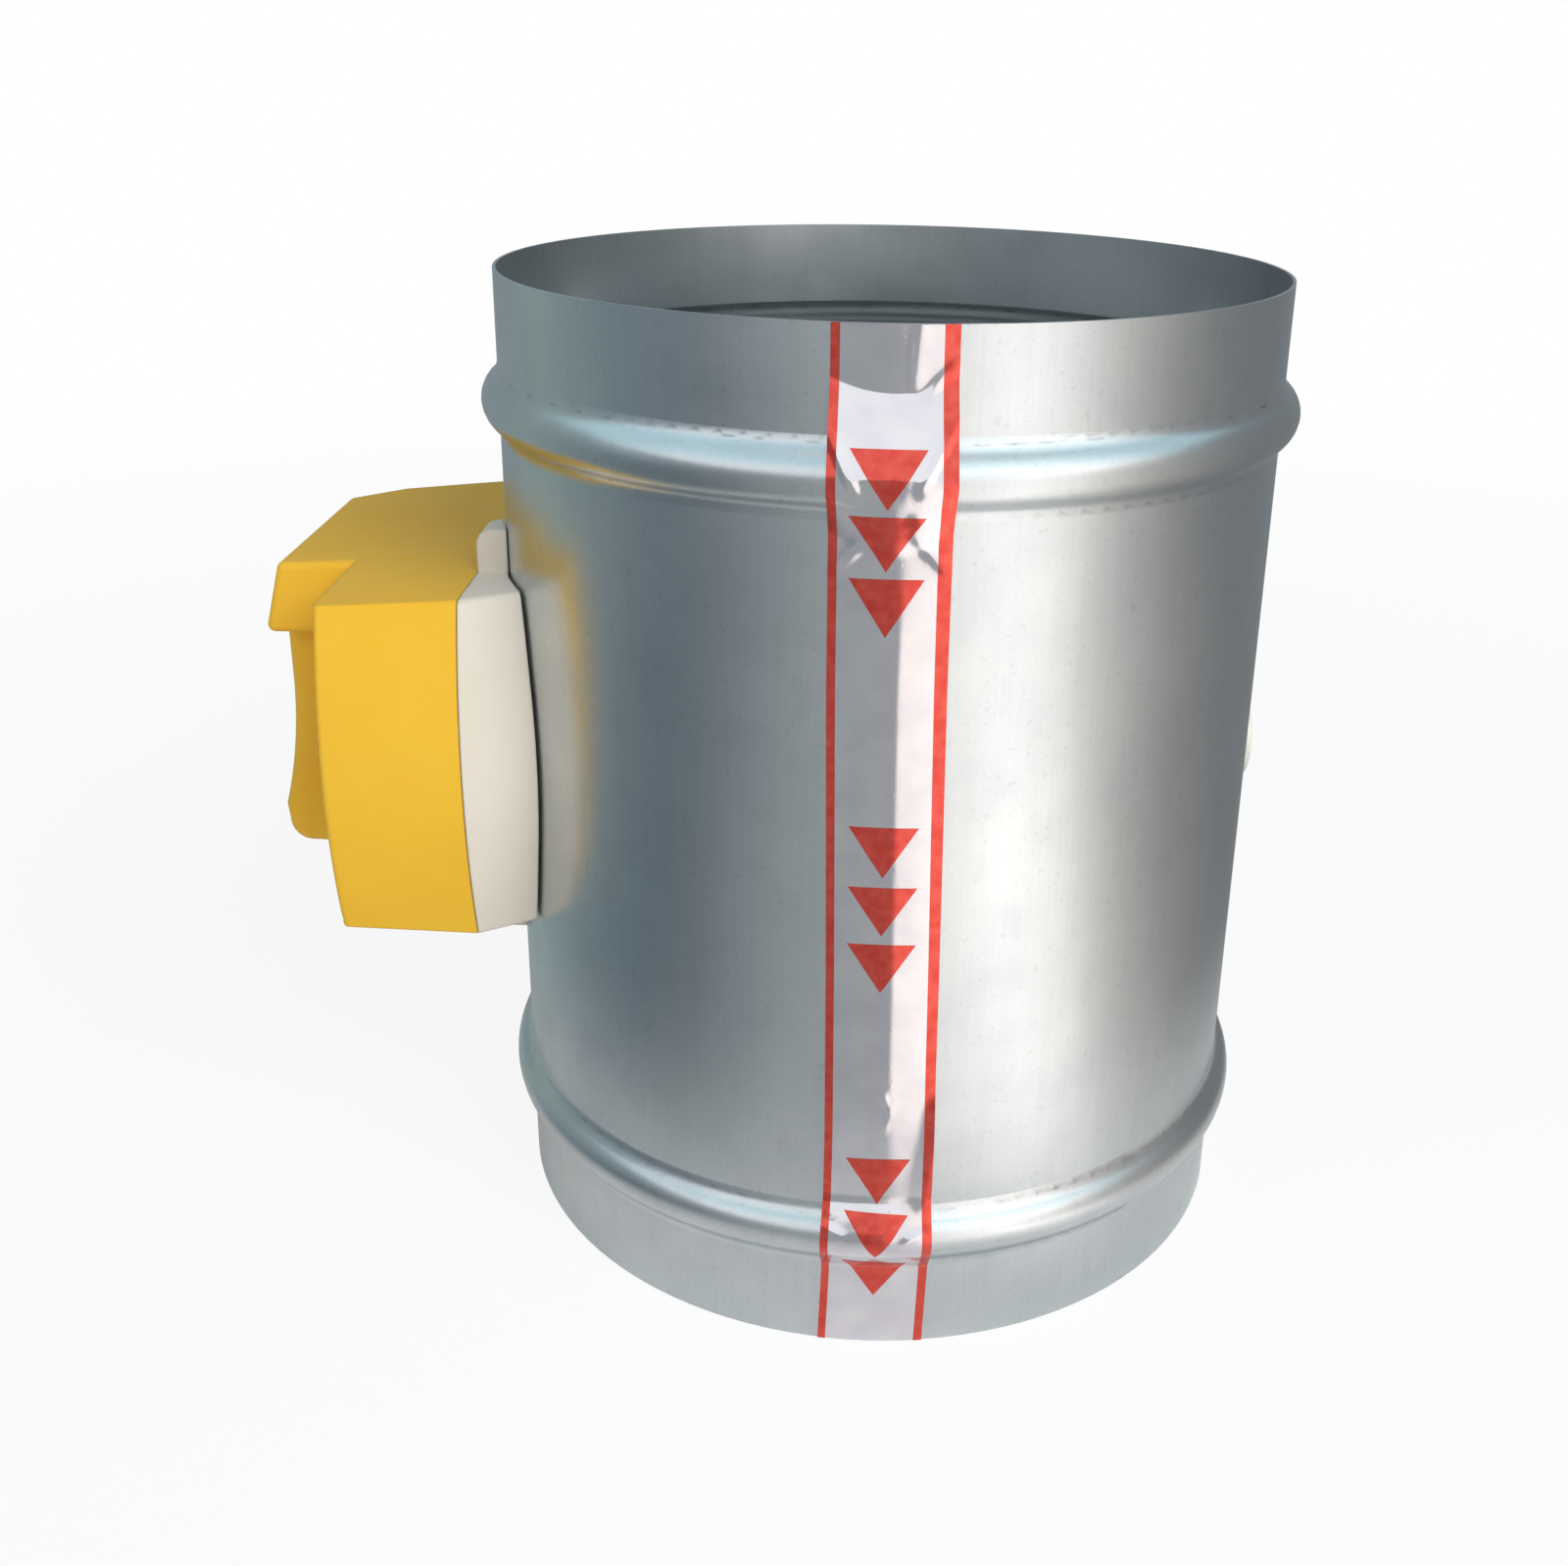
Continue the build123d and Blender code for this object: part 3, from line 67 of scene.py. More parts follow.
class Body(Enum):
    """The rigid bodies of the frame."""

    DUCT = "duct"
    BLADE = "blade"
    IDLER = "idler"
    PINION = "pinion"


def linear(code: str) -> Colour:
    """Linear colour, with an alpha of 1, of an sRGB hex code such as "F7C337"."""
    parts = [int(code[i : i + 2], 16) / 255 for i in (0, 2, 4)]
    return (*(p / 12.92 if p <= 0.04045 else ((p + 0.055) / 1.055) ** 2.4 for p in parts), 1.0)


def per_metre(size_mm: float) -> float:
    """Scale that gives a texture a feature size in millimetres on Object coordinates."""
    return 1.0 / (size_mm * MM)


class Nodes:
    """Node tree of a material or a world, with its textures at real size."""

    def __init__(self, owner: bpy.types.Material | bpy.types.World) -> None:
        """Gives the owner an empty node tree.

        Args:
            owner: The material or world.
        """
        owner.use_nodes = True
        self.tree = owner.node_tree
        self.tree.nodes.clear()

    def feed(self, node: Node, inputs: dict[str | int, object]) -> None:
        """Sets a node's inputs, or links sockets to them.

        Args:
            node: The node that is fed.
            inputs: Values or output sockets by the input's name or number.
        """
        for name, value in inputs.items():
            if isinstance(value, Socket):
                self.tree.links.new(value, node.inputs[name])
            else:
                node.inputs[name].default_value = value

    def add(
        self, kind: str, inputs: dict[str | int, object] | None = None, **settings: object
    ) -> Node:
        """Adds a node, with its settings and its inputs.

        Args:
            kind: The node's type, without its "ShaderNode" in front.
            inputs: Values or output sockets by the input's name or number.
            settings: Properties of the node by name.

        Returns:
            The new node.
        """
        node = self.tree.nodes.new("ShaderNode" + kind)
        for name, value in settings.items():
            setattr(node, name, value)
        self.feed(node, inputs or {})
        return node

    def place(self, stretch: Triple = (1, 1, 1)) -> Socket:
        """Object coordinates, scaled along X, Y and Z."""
        where = self.add("TexCoord").outputs["Object"]
        return self.add("Mapping", {"Vector": where, "Scale": stretch}).outputs[0]

    def grain(
        self, where: Socket, size_mm: float, span: Pair = (0.0, 1.0), detail: float = 3.0
    ) -> Socket:
        """Noise of one feature size, spread between two values.

        Args:
            where: The coordinates that the noise is read at.
            size_mm: Size of a patch in millimetres.
            span: Values in the darkest and in the brightest patches.
            detail: Octaves of finer noise.

        Returns:
            The socket with the spread value.
        """
        inputs = {"Vector": where, "Scale": per_metre(size_mm), "Detail": detail}
        source = self.add("TexNoise", inputs).outputs[0]
        inputs = {"Value": source, "From Min": NOISE_LOW, "From Max": NOISE_HIGH}
        inputs["To Min"], inputs["To Max"] = span
        return self.add("MapRange", inputs).outputs[0]

    def blend(self, share: Socket, first: Socket | Colour, second: Socket | Colour) -> Socket:
        """Mixes two colours by the share of the second one, from 0 to 1."""
        inputs = {"Factor": share, 6: first, 7: second}
        return self.add("Mix", inputs, data_type="RGBA").outputs[2]

    def relief(
        self,
        shader: Node,
        height: Socket,
        depth_mm: float,
        strength: float,
        facing: Socket | None = None,
    ) -> None:
        """Bumps a shader's normal by a height.

        Args:
            shader: The shader whose normal is bumped.
            height: The socket with the height, from 0 to 1.
            depth_mm: Depth of the relief in millimetres.
            strength: Share of the relief that shows.
            facing: The normal that is bumped, or None for the surface's own.
        """
        inputs = {"Height": height, "Distance": depth_mm * MM, "Strength": strength}
        if facing is not None:
            inputs["Normal"] = facing
        self.feed(shader, {"Normal": self.add("Bump", inputs).outputs[0]})


@dataclass(frozen=True)
class Finish:
    """A node material that is made once and handed out to every piece that wears it."""

    name: str

    def material(self) -> bpy.types.Material:
        """Finds the material, or makes it at its first use.

        Returns:
            The material.
        """
        made = bpy.data.materials.get(self.name)
        if made is None:
            made = bpy.data.materials.new(self.name)
            nodes = Nodes(made)
            shader = nodes.add("BsdfPrincipled")
            nodes.add("OutputMaterial", {"Surface": shader.outputs[0]})
            self.dress(nodes, shader)
        return made

    def dress(self, nodes: Nodes, shader: Node) -> None:
        """Gives the shader its colour, gloss and relief.

        Args:
            nodes: The material's node tree.
            shader: Its shader.
        """
        raise NotImplementedError


@dataclass(frozen=True)
class GalvanisedSheet(Finish):
    """Hot-dip galvanised steel sheet, rolled: a satin zinc skin, bluish grey and finely speckled.

    The rolls leave faint streaks up the duct, handling leaves soft smudges and a few dark
    specks, and painted shade lies in short grey dashes along the crease above each bead.
    The speckle is drawn at half a millimetre, coarser than the zinc's own, so that it shows.
    """

    zinc: str = "CACED0"
    # Colour of the real streaks, smudges and specks, and of the painted shade in the bead creases
    cloud: str = "C0C5C8"
    stain_and_shade: str = "868D92"
    speckle_mm: float = 0.5
    speckle_share: float = 0.08
    speckle_gloss: float = 0.015
    streak_mm: float = 1.2
    streak_length_mm: float = 40.0
    streak_share: float = 0.07
    cloud_mm: float = 30.0
    smudge_share: float = 0.07
    speck_mm: float = 1.5
    speck_span: Pair = (-3.2, 0.16)
    gloss: Pair = (0.27, 0.31)
    bead_heights_mm: Pair = (31.7, 219.3)
    # Where the painted shade lies: a thin band just above each bead, broken into dashes
    crease_above_mm: float = 7.4
    crease_reach_mm: float = 0.3
    dash_mm: float = 5.0
    dash_span: Pair = (-0.9, 0.7)

    def dress(self, nodes: Nodes, shader: Node) -> None:
        """Zinc with clouds, streaks, speckle, specks and painted shade along the bead creases.

        Args:
            nodes: The material's node tree.
            shader: Its shader.
        """
        where = nodes.place()
        up = nodes.place((1, 1, self.streak_mm / self.streak_length_mm))
        clouds = nodes.grain(where, self.cloud_mm, detail=2.0)
        streaks = nodes.grain(up, self.streak_mm, (0.0, self.streak_share), detail=2.0)
        speckle = nodes.grain(where, self.speckle_mm, detail=1.0)
        smudges = nodes.grain(where, self.cloud_mm / 3, (-self.smudge_share, self.smudge_share))
        specks = nodes.grain(where, self.speck_mm, self.speck_span, detail=1.0)
        tone = nodes.blend(clouds, linear(self.zinc), linear(self.cloud))
        inputs = {0: speckle, 1: self.speckle_share, 2: streaks}
        darker = nodes.add("Math", inputs, operation="MULTIPLY_ADD").outputs[0]
        # The last share is painted shade along the bead creases; the others are real marks on the
        # zinc
        for share in (darker, smudges, specks, self.painted_crease_shade(nodes, where)):
            tone = nodes.blend(share, tone, linear(self.stain_and_shade))
        gloss = nodes.grain(where, self.cloud_mm / 2, self.gloss)
        inputs = {0: speckle, 1: self.speckle_gloss, 2: gloss}
        gloss = nodes.add("Math", inputs, operation="MULTIPLY_ADD").outputs[0]
        nodes.feed(shader, {"Base Color": tone, "Roughness": gloss, "Metallic": 1.0})
        nodes.relief(shader, speckle, depth_mm=0.004, strength=0.5)

    def painted_crease_shade(self, nodes: Nodes, where: Socket) -> Socket:
        """Painted shade: short grey dashes along the crease above each bead.

        Args:
            nodes: The material's node tree.
            where: Object coordinates.

        Returns:
            The socket with the share of painted shade.
        """
        level = nodes.add("SeparateXYZ", {0: where}).outputs[2]
        line: Socket | float = 0.0
        for bead_mm in self.bead_heights_mm:
            crease = (bead_mm + self.crease_above_mm) * MM
            inputs = {0: level, 1: crease, 2: self.crease_reach_mm * MM}
            near = nodes.add("Math", inputs, operation="COMPARE").outputs[0]
            line = nodes.add("Math", {0: near, 1: line}, operation="ADD").outputs[0]
        dashes = nodes.grain(where, self.dash_mm, self.dash_span, detail=2.0)
        both = nodes.add("Math", {0: line, 1: dashes}, operation="MULTIPLY", use_clamp=True)
        return both.outputs[0]


@dataclass(frozen=True)
class PatchedSkin(Finish):
    """Skin of two close tones in soft patches, with uneven gloss and fine marks in relief.

    It serves plated, drawn and cut metal, thin ink on foil and moulded rubber. The marks are
    drawn coarser than real, so that they show.
    """

    tone: str
    shade: str
    patch_mm: float
    gloss: Pair
    gloss_mm: float
    mark_mm: float
    mark_depth_mm: float = 0.02
    mark_strength: float = 0.6
    metal_share: float = 1.0
    patch_share: float = 1.0

    def dress(self, nodes: Nodes, shader: Node) -> None:
        """Two tones in patches, uneven gloss and marks.

        Args:
            nodes: The material's node tree.
            shader: Its shader.
        """
        where = nodes.place()
        patches = nodes.grain(where, self.patch_mm, (0.0, self.patch_share))
        tone = nodes.blend(patches, linear(self.tone), linear(self.shade))
        gloss = nodes.grain(where, self.gloss_mm, self.gloss)
        nodes.feed(shader, {"Base Color": tone, "Roughness": gloss, "Metallic": self.metal_share})
        marks = nodes.grain(where, self.mark_mm)
        nodes.relief(shader, marks, self.mark_depth_mm, self.mark_strength)


@dataclass(frozen=True)
class MouldedPlastic(Finish):
    """Injection-moulded plastic: one colour through, a fine spark-eroded grain and faint flow.

    The grain is drawn at about half a millimetre, coarser than the mould's, so that it shows.
    """

    colour: str = "F7C235"
    flow: str = "F2B92C"
    roughness: float = 0.42
    ior: float = 1.53
    flow_mm: float = 45.0
    grain_mm: float = 0.5
    grain_depth_mm: float = 0.03
    scuff: str = "FFDC7A"
    shine: float = 0.5
    edge_mm: float = 0.9
    gloss_mm: float = 6.0
    gloss_span: Pair = (-0.05, 0.06)
    scuff_mm: float = 9.0
    scuff_stretch: float = 9.0
    scuff_from: Pair = (0.93, 1.1)
    scuff_share: float = 0.45

    def dress(self, nodes: Nodes, shader: Node) -> None:
        """Colour with a soft flow, a few light scuffs, uneven gloss and grain.

        Args:
            nodes: The material's node tree.
            shader: Its shader.
        """
        where = nodes.place()
        flow = nodes.grain(where, self.flow_mm)
        tone = nodes.blend(flow, linear(self.colour), linear(self.flow))
        scratched = nodes.place((1.0, 1.0, self.scuff_stretch))
        low, high = self.scuff_from
        inputs = {
            "Value": nodes.grain(scratched, self.scuff_mm, detail=6.0),
            "From Min": low,
            "From Max": high,
            "To Max": self.scuff_share,
        }
        scuffs = nodes.add("MapRange", inputs).outputs[0]
        low, high = self.gloss_span
        finish = {
            "Base Color": nodes.blend(scuffs, tone, linear(self.scuff)),
            "Roughness": nodes.grain(
                where, self.gloss_mm, (self.roughness + low, self.roughness + high)
            ),
            "IOR": self.ior,
            "Specular IOR Level": self.shine,
        }
        nodes.feed(shader, finish)
        rounded = nodes.add("Bevel", {"Radius": self.edge_mm * MM}, samples=6).outputs[0]
        grain = nodes.grain(where, self.grain_mm, detail=1.0)
        nodes.relief(shader, grain, self.grain_depth_mm, strength=0.5, facing=rounded)


@dataclass(frozen=True)
class FoilTape(Finish):
    """Self-adhesive aluminium foil tape, rolled: smooth and bright, with a faint lilac cast.

    Rolling leaves fine lines along it, and rubbing down leaves small scuffs and pimples.
    """

    foil: str = "DCDADD"
    dull: str = "CFCDD4"
    line_mm: float = 0.6
    line_length_mm: float = 18.0
    line_share: float = 0.12
    cloud_mm: float = 9.0
    pimple_mm: float = 2.2
    pimple_from: Pair = (0.75, 1.1)
    gloss: Pair = (0.07, 0.11)

    def dress(self, nodes: Nodes, shader: Node) -> None:
        """Foil with rolled lines, dull clouds and pimples.

        Args:
            nodes: The material's node tree.
            shader: Its shader.
        """
        where = nodes.place()
        along = nodes.place((1, 1, self.line_mm / self.line_length_mm))
        clouds = nodes.grain(where, self.cloud_mm)
        tone = nodes.blend(clouds, linear(self.foil), linear(self.dull))
        gloss = nodes.grain(where, self.cloud_mm, self.gloss)
        nodes.feed(shader, {"Base Color": tone, "Roughness": gloss, "Metallic": 1.0})
        lines = nodes.grain(along, self.line_mm, (0.0, self.line_share), detail=2.0)
        low, high = self.pimple_from
        pimples = nodes.grain(where, self.pimple_mm, detail=2.0)
        inputs = {"Value": pimples, "From Min": low, "From Max": high}
        pimples = nodes.add("MapRange", inputs).outputs[0]
        height = nodes.add("Math", {0: lines, 1: pimples}, operation="ADD").outputs[0]
        nodes.relief(shader, height, depth_mm=0.02, strength=0.4)


@dataclass(frozen=True)
class BoardLaminate(Finish):
    """Glass-fibre laminate under green solder mask, with copper tracks showing through it."""

    mask: str = "1F6B3C"
    track: str = "2F8A4F"
    weave_mm: float = 0.8
    track_mm: float = 0.35
    track_pitch_mm: float = 2.54
    track_run: int = 4
    roughness: float = 0.32
    ior: float = 1.55

    def dress(self, nodes: Nodes, shader: Node) -> None:
        """Mask with tracks and the glass weave.

        Args:
            nodes: The material's node tree.
            shader: Its shader.
        """
        where = nodes.place()
        inputs = {
            "Vector": where,
            "Color1": (0, 0, 0, 1),
            "Color2": (0, 0, 0, 1),
            "Mortar": (1, 1, 1, 1),
            "Scale": 1.0,
            "Mortar Size": self.track_mm * MM,
            "Brick Width": self.track_run * self.track_pitch_mm * MM,
            "Row Height": self.track_pitch_mm * MM,
        }
        tracks = nodes.add("TexBrick", inputs, offset=0.35, squash=1.0).outputs[0]
        tone = nodes.blend(tracks, linear(self.mask), linear(self.track))
        nodes.feed(shader, {"Base Color": tone, "Roughness": self.roughness, "IOR": self.ior})
        weave = nodes.grain(where, self.weave_mm)
        nodes.relief(shader, weave, depth_mm=0.02, strength=0.4)


# The finish of every material slot of the record
FINISHES: dict[str, Finish] = {
    # Hot-dip zinc on rolled sheet: satin, bluish grey, finely speckled
    "galvanised_steel": GalvanisedSheet("hot_dip_galvanised_rolled_sheet"),
    # Rolled aluminium foil with an adhesive back: bright where creased, satin where flat
    "foil_tape": FoilTape("rolled_aluminium_foil_tape"),
    # Solvent ink, printed thin: red that lets the foil's shine and relief through
    "red_print": PatchedSkin(
        "printed_red_ink", "CB443A", "DA5A4E", 2.5, (0.10, 0.15), 1.5, 0.9, 0.004, 0.5, 0.75
    ),
    # Acetal bushes, moulded: off-white and waxy
    "bush_plastic": MouldedPlastic(
        "moulded_acetal", "E4E1D8", "DAD6CB", 0.38, 1.48, 20.0, 0.4, 0.02, "EFECE4"
    ),
    # Cold-formed steel, zinc electroplated: bluish, fairly bright, fine marks
    "zinc_steel": PatchedSkin(
        "zinc_plated_formed_steel", "B9BCBE", "9CA0A3", 4.0, (0.24, 0.38), 2.0, 0.3
    ),
    # ABS, moulded in cream: satin with a fine eroded grain
    "base_plastic": MouldedPlastic(
        "moulded_cream_abs", "E6DCCD", "DFD5C4", 0.46, 1.53, 40.0, 0.5, 0.03, "EDE6D8"
    ),
    # ABS, moulded in yellow: strong even colour, satin gloss
    "cover_plastic": MouldedPlastic("moulded_yellow_abs", shine=0.2),
    # Deep-drawn steel can: smooth with soft drawing marks
    "can_steel": PatchedSkin(
        "drawn_steel_can", "C4C6C6", "AEB1B2", 9.0, (0.2, 0.32), 4.5, 0.5
    ),
    # Glass-filled nylon, moulded in black: dull with light fibre specks
    "dark_plastic": MouldedPlastic(
        "moulded_black_nylon", "232426", "2C2D30", 0.5, 1.53, 12.0, 0.4, 0.03, "55575A"
    ),
    # Glass-fibre laminate with solder mask: green, glossy, tracks showing through
    "board_laminate": BoardLaminate("solder_masked_laminate"),
    # Thermoplastic polyester, moulded in blue: satin relay case
    "relay_blue": MouldedPlastic(
        "moulded_blue_polyester", "2C5FA8", "27559A", 0.36, 1.57, 10.0, 0.4, 0.02, "5A86C4"
    ),
    # Shrunk vinyl sleeve: dark, smooth and slightly glossy
    "capacitor_sleeve": MouldedPlastic(
        "shrunk_vinyl_sleeve", "22303F", "1C2935", 0.28, 1.54, 8.0, 0.6, 0.01, "41566B"
    ),
    # Polyamide, moulded in green: satin terminal block
    "terminal_green": MouldedPlastic(
        "moulded_green_polyamide", "3E9A4A", "378E42", 0.42, 1.53, 9.0, 0.4, 0.02, "74BD7C"
    ),
    # Polyamide, moulded in grey: satin cable gland
    "gland_grey": MouldedPlastic(
        "moulded_grey_polyamide", "8B9094", "82878B", 0.44, 1.53, 16.0, 0.4, 0.03, "A9AEB1"
    ),
    # Synthetic rubber, moulded: black and matt, with a faint grey bloom and a pitted skin
    "edge_rubber": PatchedSkin(
        "moulded_black_rubber", "1E1F20", "323436", 7.0, (0.6, 0.75), 3.0, 0.4, 0.04, 0.6,
        metal_share=0.0, patch_share=0.8,
    ),
    # Acetal gears, hobbed from mouldings: milky white, waxy
    "gear_plastic": MouldedPlastic(
        "moulded_white_acetal", "EAE9E2", "E0DED5", 0.34, 1.48, 14.0, 0.35, 0.02, "F5F4EF"
    ),
    # Leaded brass, hobbed: warm yellow metal with bright flanks
    "gear_brass": PatchedSkin(
        "hobbed_brass", "D9B566", "C49C4C", 3.0, (0.18, 0.3), 1.5, 0.25
    ),
}


def dress_frame() -> None:
    """Gives every node of the frame the finish of its slot in the record."""
    for row in frame["record"]["subparts"]:
        mesh = frame["nodes"][row["node"]].data
        mesh.materials.clear()
        mesh.materials.append(FINISHES[row["material_slot"]].material())


def hand_out(piece: Piece, slot: str, body: Body) -> Piece:
    """Gives a new piece the finish of a record's slot, and hangs it on the body that it rides on.

    Args:
        piece: The new piece, in place.
        slot: The record's material slot.
        body: The body that carries the piece.

    Returns:
        The same piece.
    """
    piece.data.materials.append(FINISHES[slot].material())
    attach(piece, body.value)
    LOG.info("%s: %d faces on %s", piece.name, len(piece.data.polygons), body.value)
    return piece


def mesh_object(name: str, shape: Shape, smooth_degrees: float = 40.0) -> Piece:
    """Turns a bmesh into a linked object at the origin.

    Args:
        name: The piece's name.
        shape: The finished shape, in metres, which is freed.
        smooth_degrees: Edges that bend more than this stay sharp.

    Returns:
        The new object.
    """
    limit = math.radians(smooth_degrees)
    for face in shape.faces:
        face.smooth = True
    for edge in shape.edges:
        edge.smooth = not edge.is_manifold or edge.calc_face_angle(0) < limit
    mesh = bpy.data.meshes.new(name)
    shape.to_mesh(mesh)
    shape.free()
    made = bpy.data.objects.new(name, mesh)
    bpy.context.scene.collection.objects.link(made)
    return made


def join(shape: Shape, other: Shape) -> None:
    """Adds a second shape to the first.

    Args:
        shape: The shape that grows.
        other: The shape that is added and freed.
    """
    passed = bpy.data.meshes.new("passed")
    other.to_mesh(passed)
    other.free()
    shape.from_mesh(passed)
    bpy.data.meshes.remove(passed)


@dataclass
class BeadedDuct:
    """The outside of the duct's sheet, which the tape lies on."""

    radius: float = 99.0 * MM
    length: float = 251.0 * MM
    bead_inset: float = 31.7 * MM
    bead_height: float = 4.3 * MM
    bead_crown: float = 6.9 * MM
    bead_foot: float = 4.5 * MM

    def stand_out(self, height: float) -> float:
        """How far the sheet stands out from the plain wall.

        Args:
            height: Height above the lower rim.

        Returns:
            The distance, 0 beside the beads.
        """
        inset = min(abs(height - self.bead_inset), abs(height - self.length + self.bead_inset))
        crown_centre = self.bead_height - self.bead_crown
        span = self.bead_crown + self.bead_foot
        reach = math.sqrt(span**2 - (self.bead_foot - crown_centre) ** 2)
        change = reach * self.bead_crown / span
        if inset >= reach:
            return 0.0
        if inset >= change:
            return self.bead_foot - math.sqrt(self.bead_foot**2 - (reach - inset) ** 2)
        return crown_centre + math.sqrt(self.bead_crown**2 - inset**2)

    def tented(self, height: float, above: float, below: float) -> float:
        """How far a strip stands out that is drawn straight from the wall to each bead's crown.

        Args:
            height: Height above the lower rim.
            above: Distance above a bead's middle at which the strip leaves the wall.
            below: The same below it.

        Returns:
            The distance from the plain wall, never less than the sheet's own.
        """
        out = self.stand_out(height)
        for bead in (self.bead_inset, self.length - self.bead_inset):
            rise = height - bead
            start = above if rise > 0 else below
            sunk = self.bead_crown - self.bead_height
            away = math.hypot(start, sunk)
            slope = math.asin(self.bead_crown / away) - math.atan2(sunk, start)
            along = math.sqrt(away**2 - self.bead_crown**2) * math.cos(slope)
            if start - along < abs(rise) < start:
                out = max(out, (start - abs(rise)) * math.tan(slope))
        return out


@dataclass(frozen=True)
class Crease:
    """Soft fold of the foil along a line, in millimetres across and up."""

    start: Pair
    end: Pair
    width: float
    height: float
    fade: float = 0.3

    def at(self, across: float, level: float) -> float:
        """Height of the fold at a point, fading out along it and to both sides.

        Args:
            across: Distance across the tape from its middle, in millimetres.
            level: Height above the lower rim, in millimetres.

        Returns:
            The fold's height in millimetres.
        """
        run = Vector(self.end) - Vector(self.start)
        way = Vector((across, level)) - Vector(self.start)
        share = way.dot(run) / run.length_squared
        side = abs(way.x * run.y - way.y * run.x) / run.length
        if not 0.0 < share < 1.0 or side > 3 * self.width:
            return 0.0
        ends = min(share, 1.0 - share, self.fade) / self.fade
        return self.height * ends * ends * (3 - 2 * ends) * math.exp(-((side / self.width) ** 2))


@dataclass(frozen=True)
class Swell:
    """Uneven lift of the foil: its height, its size across and up in millimetres and its seed."""

    height: float
    across: float
    up: float
    seed: float

    def at(self, across: float, level: float) -> float:
        """The lift in millimetres at a point that is given in millimetres."""
        spot = (across / self.across, level / self.up, self.seed)
        return self.height * (0.5 + 0.5 * noise.noise(spot))


@dataclass(frozen=True)
class TapeArrow:
    """One printed arrowhead: height of its flat top and its tip, its middle, width and tilt."""

    top: float
    tip: float
    middle: float
    width: float
    tilt: float


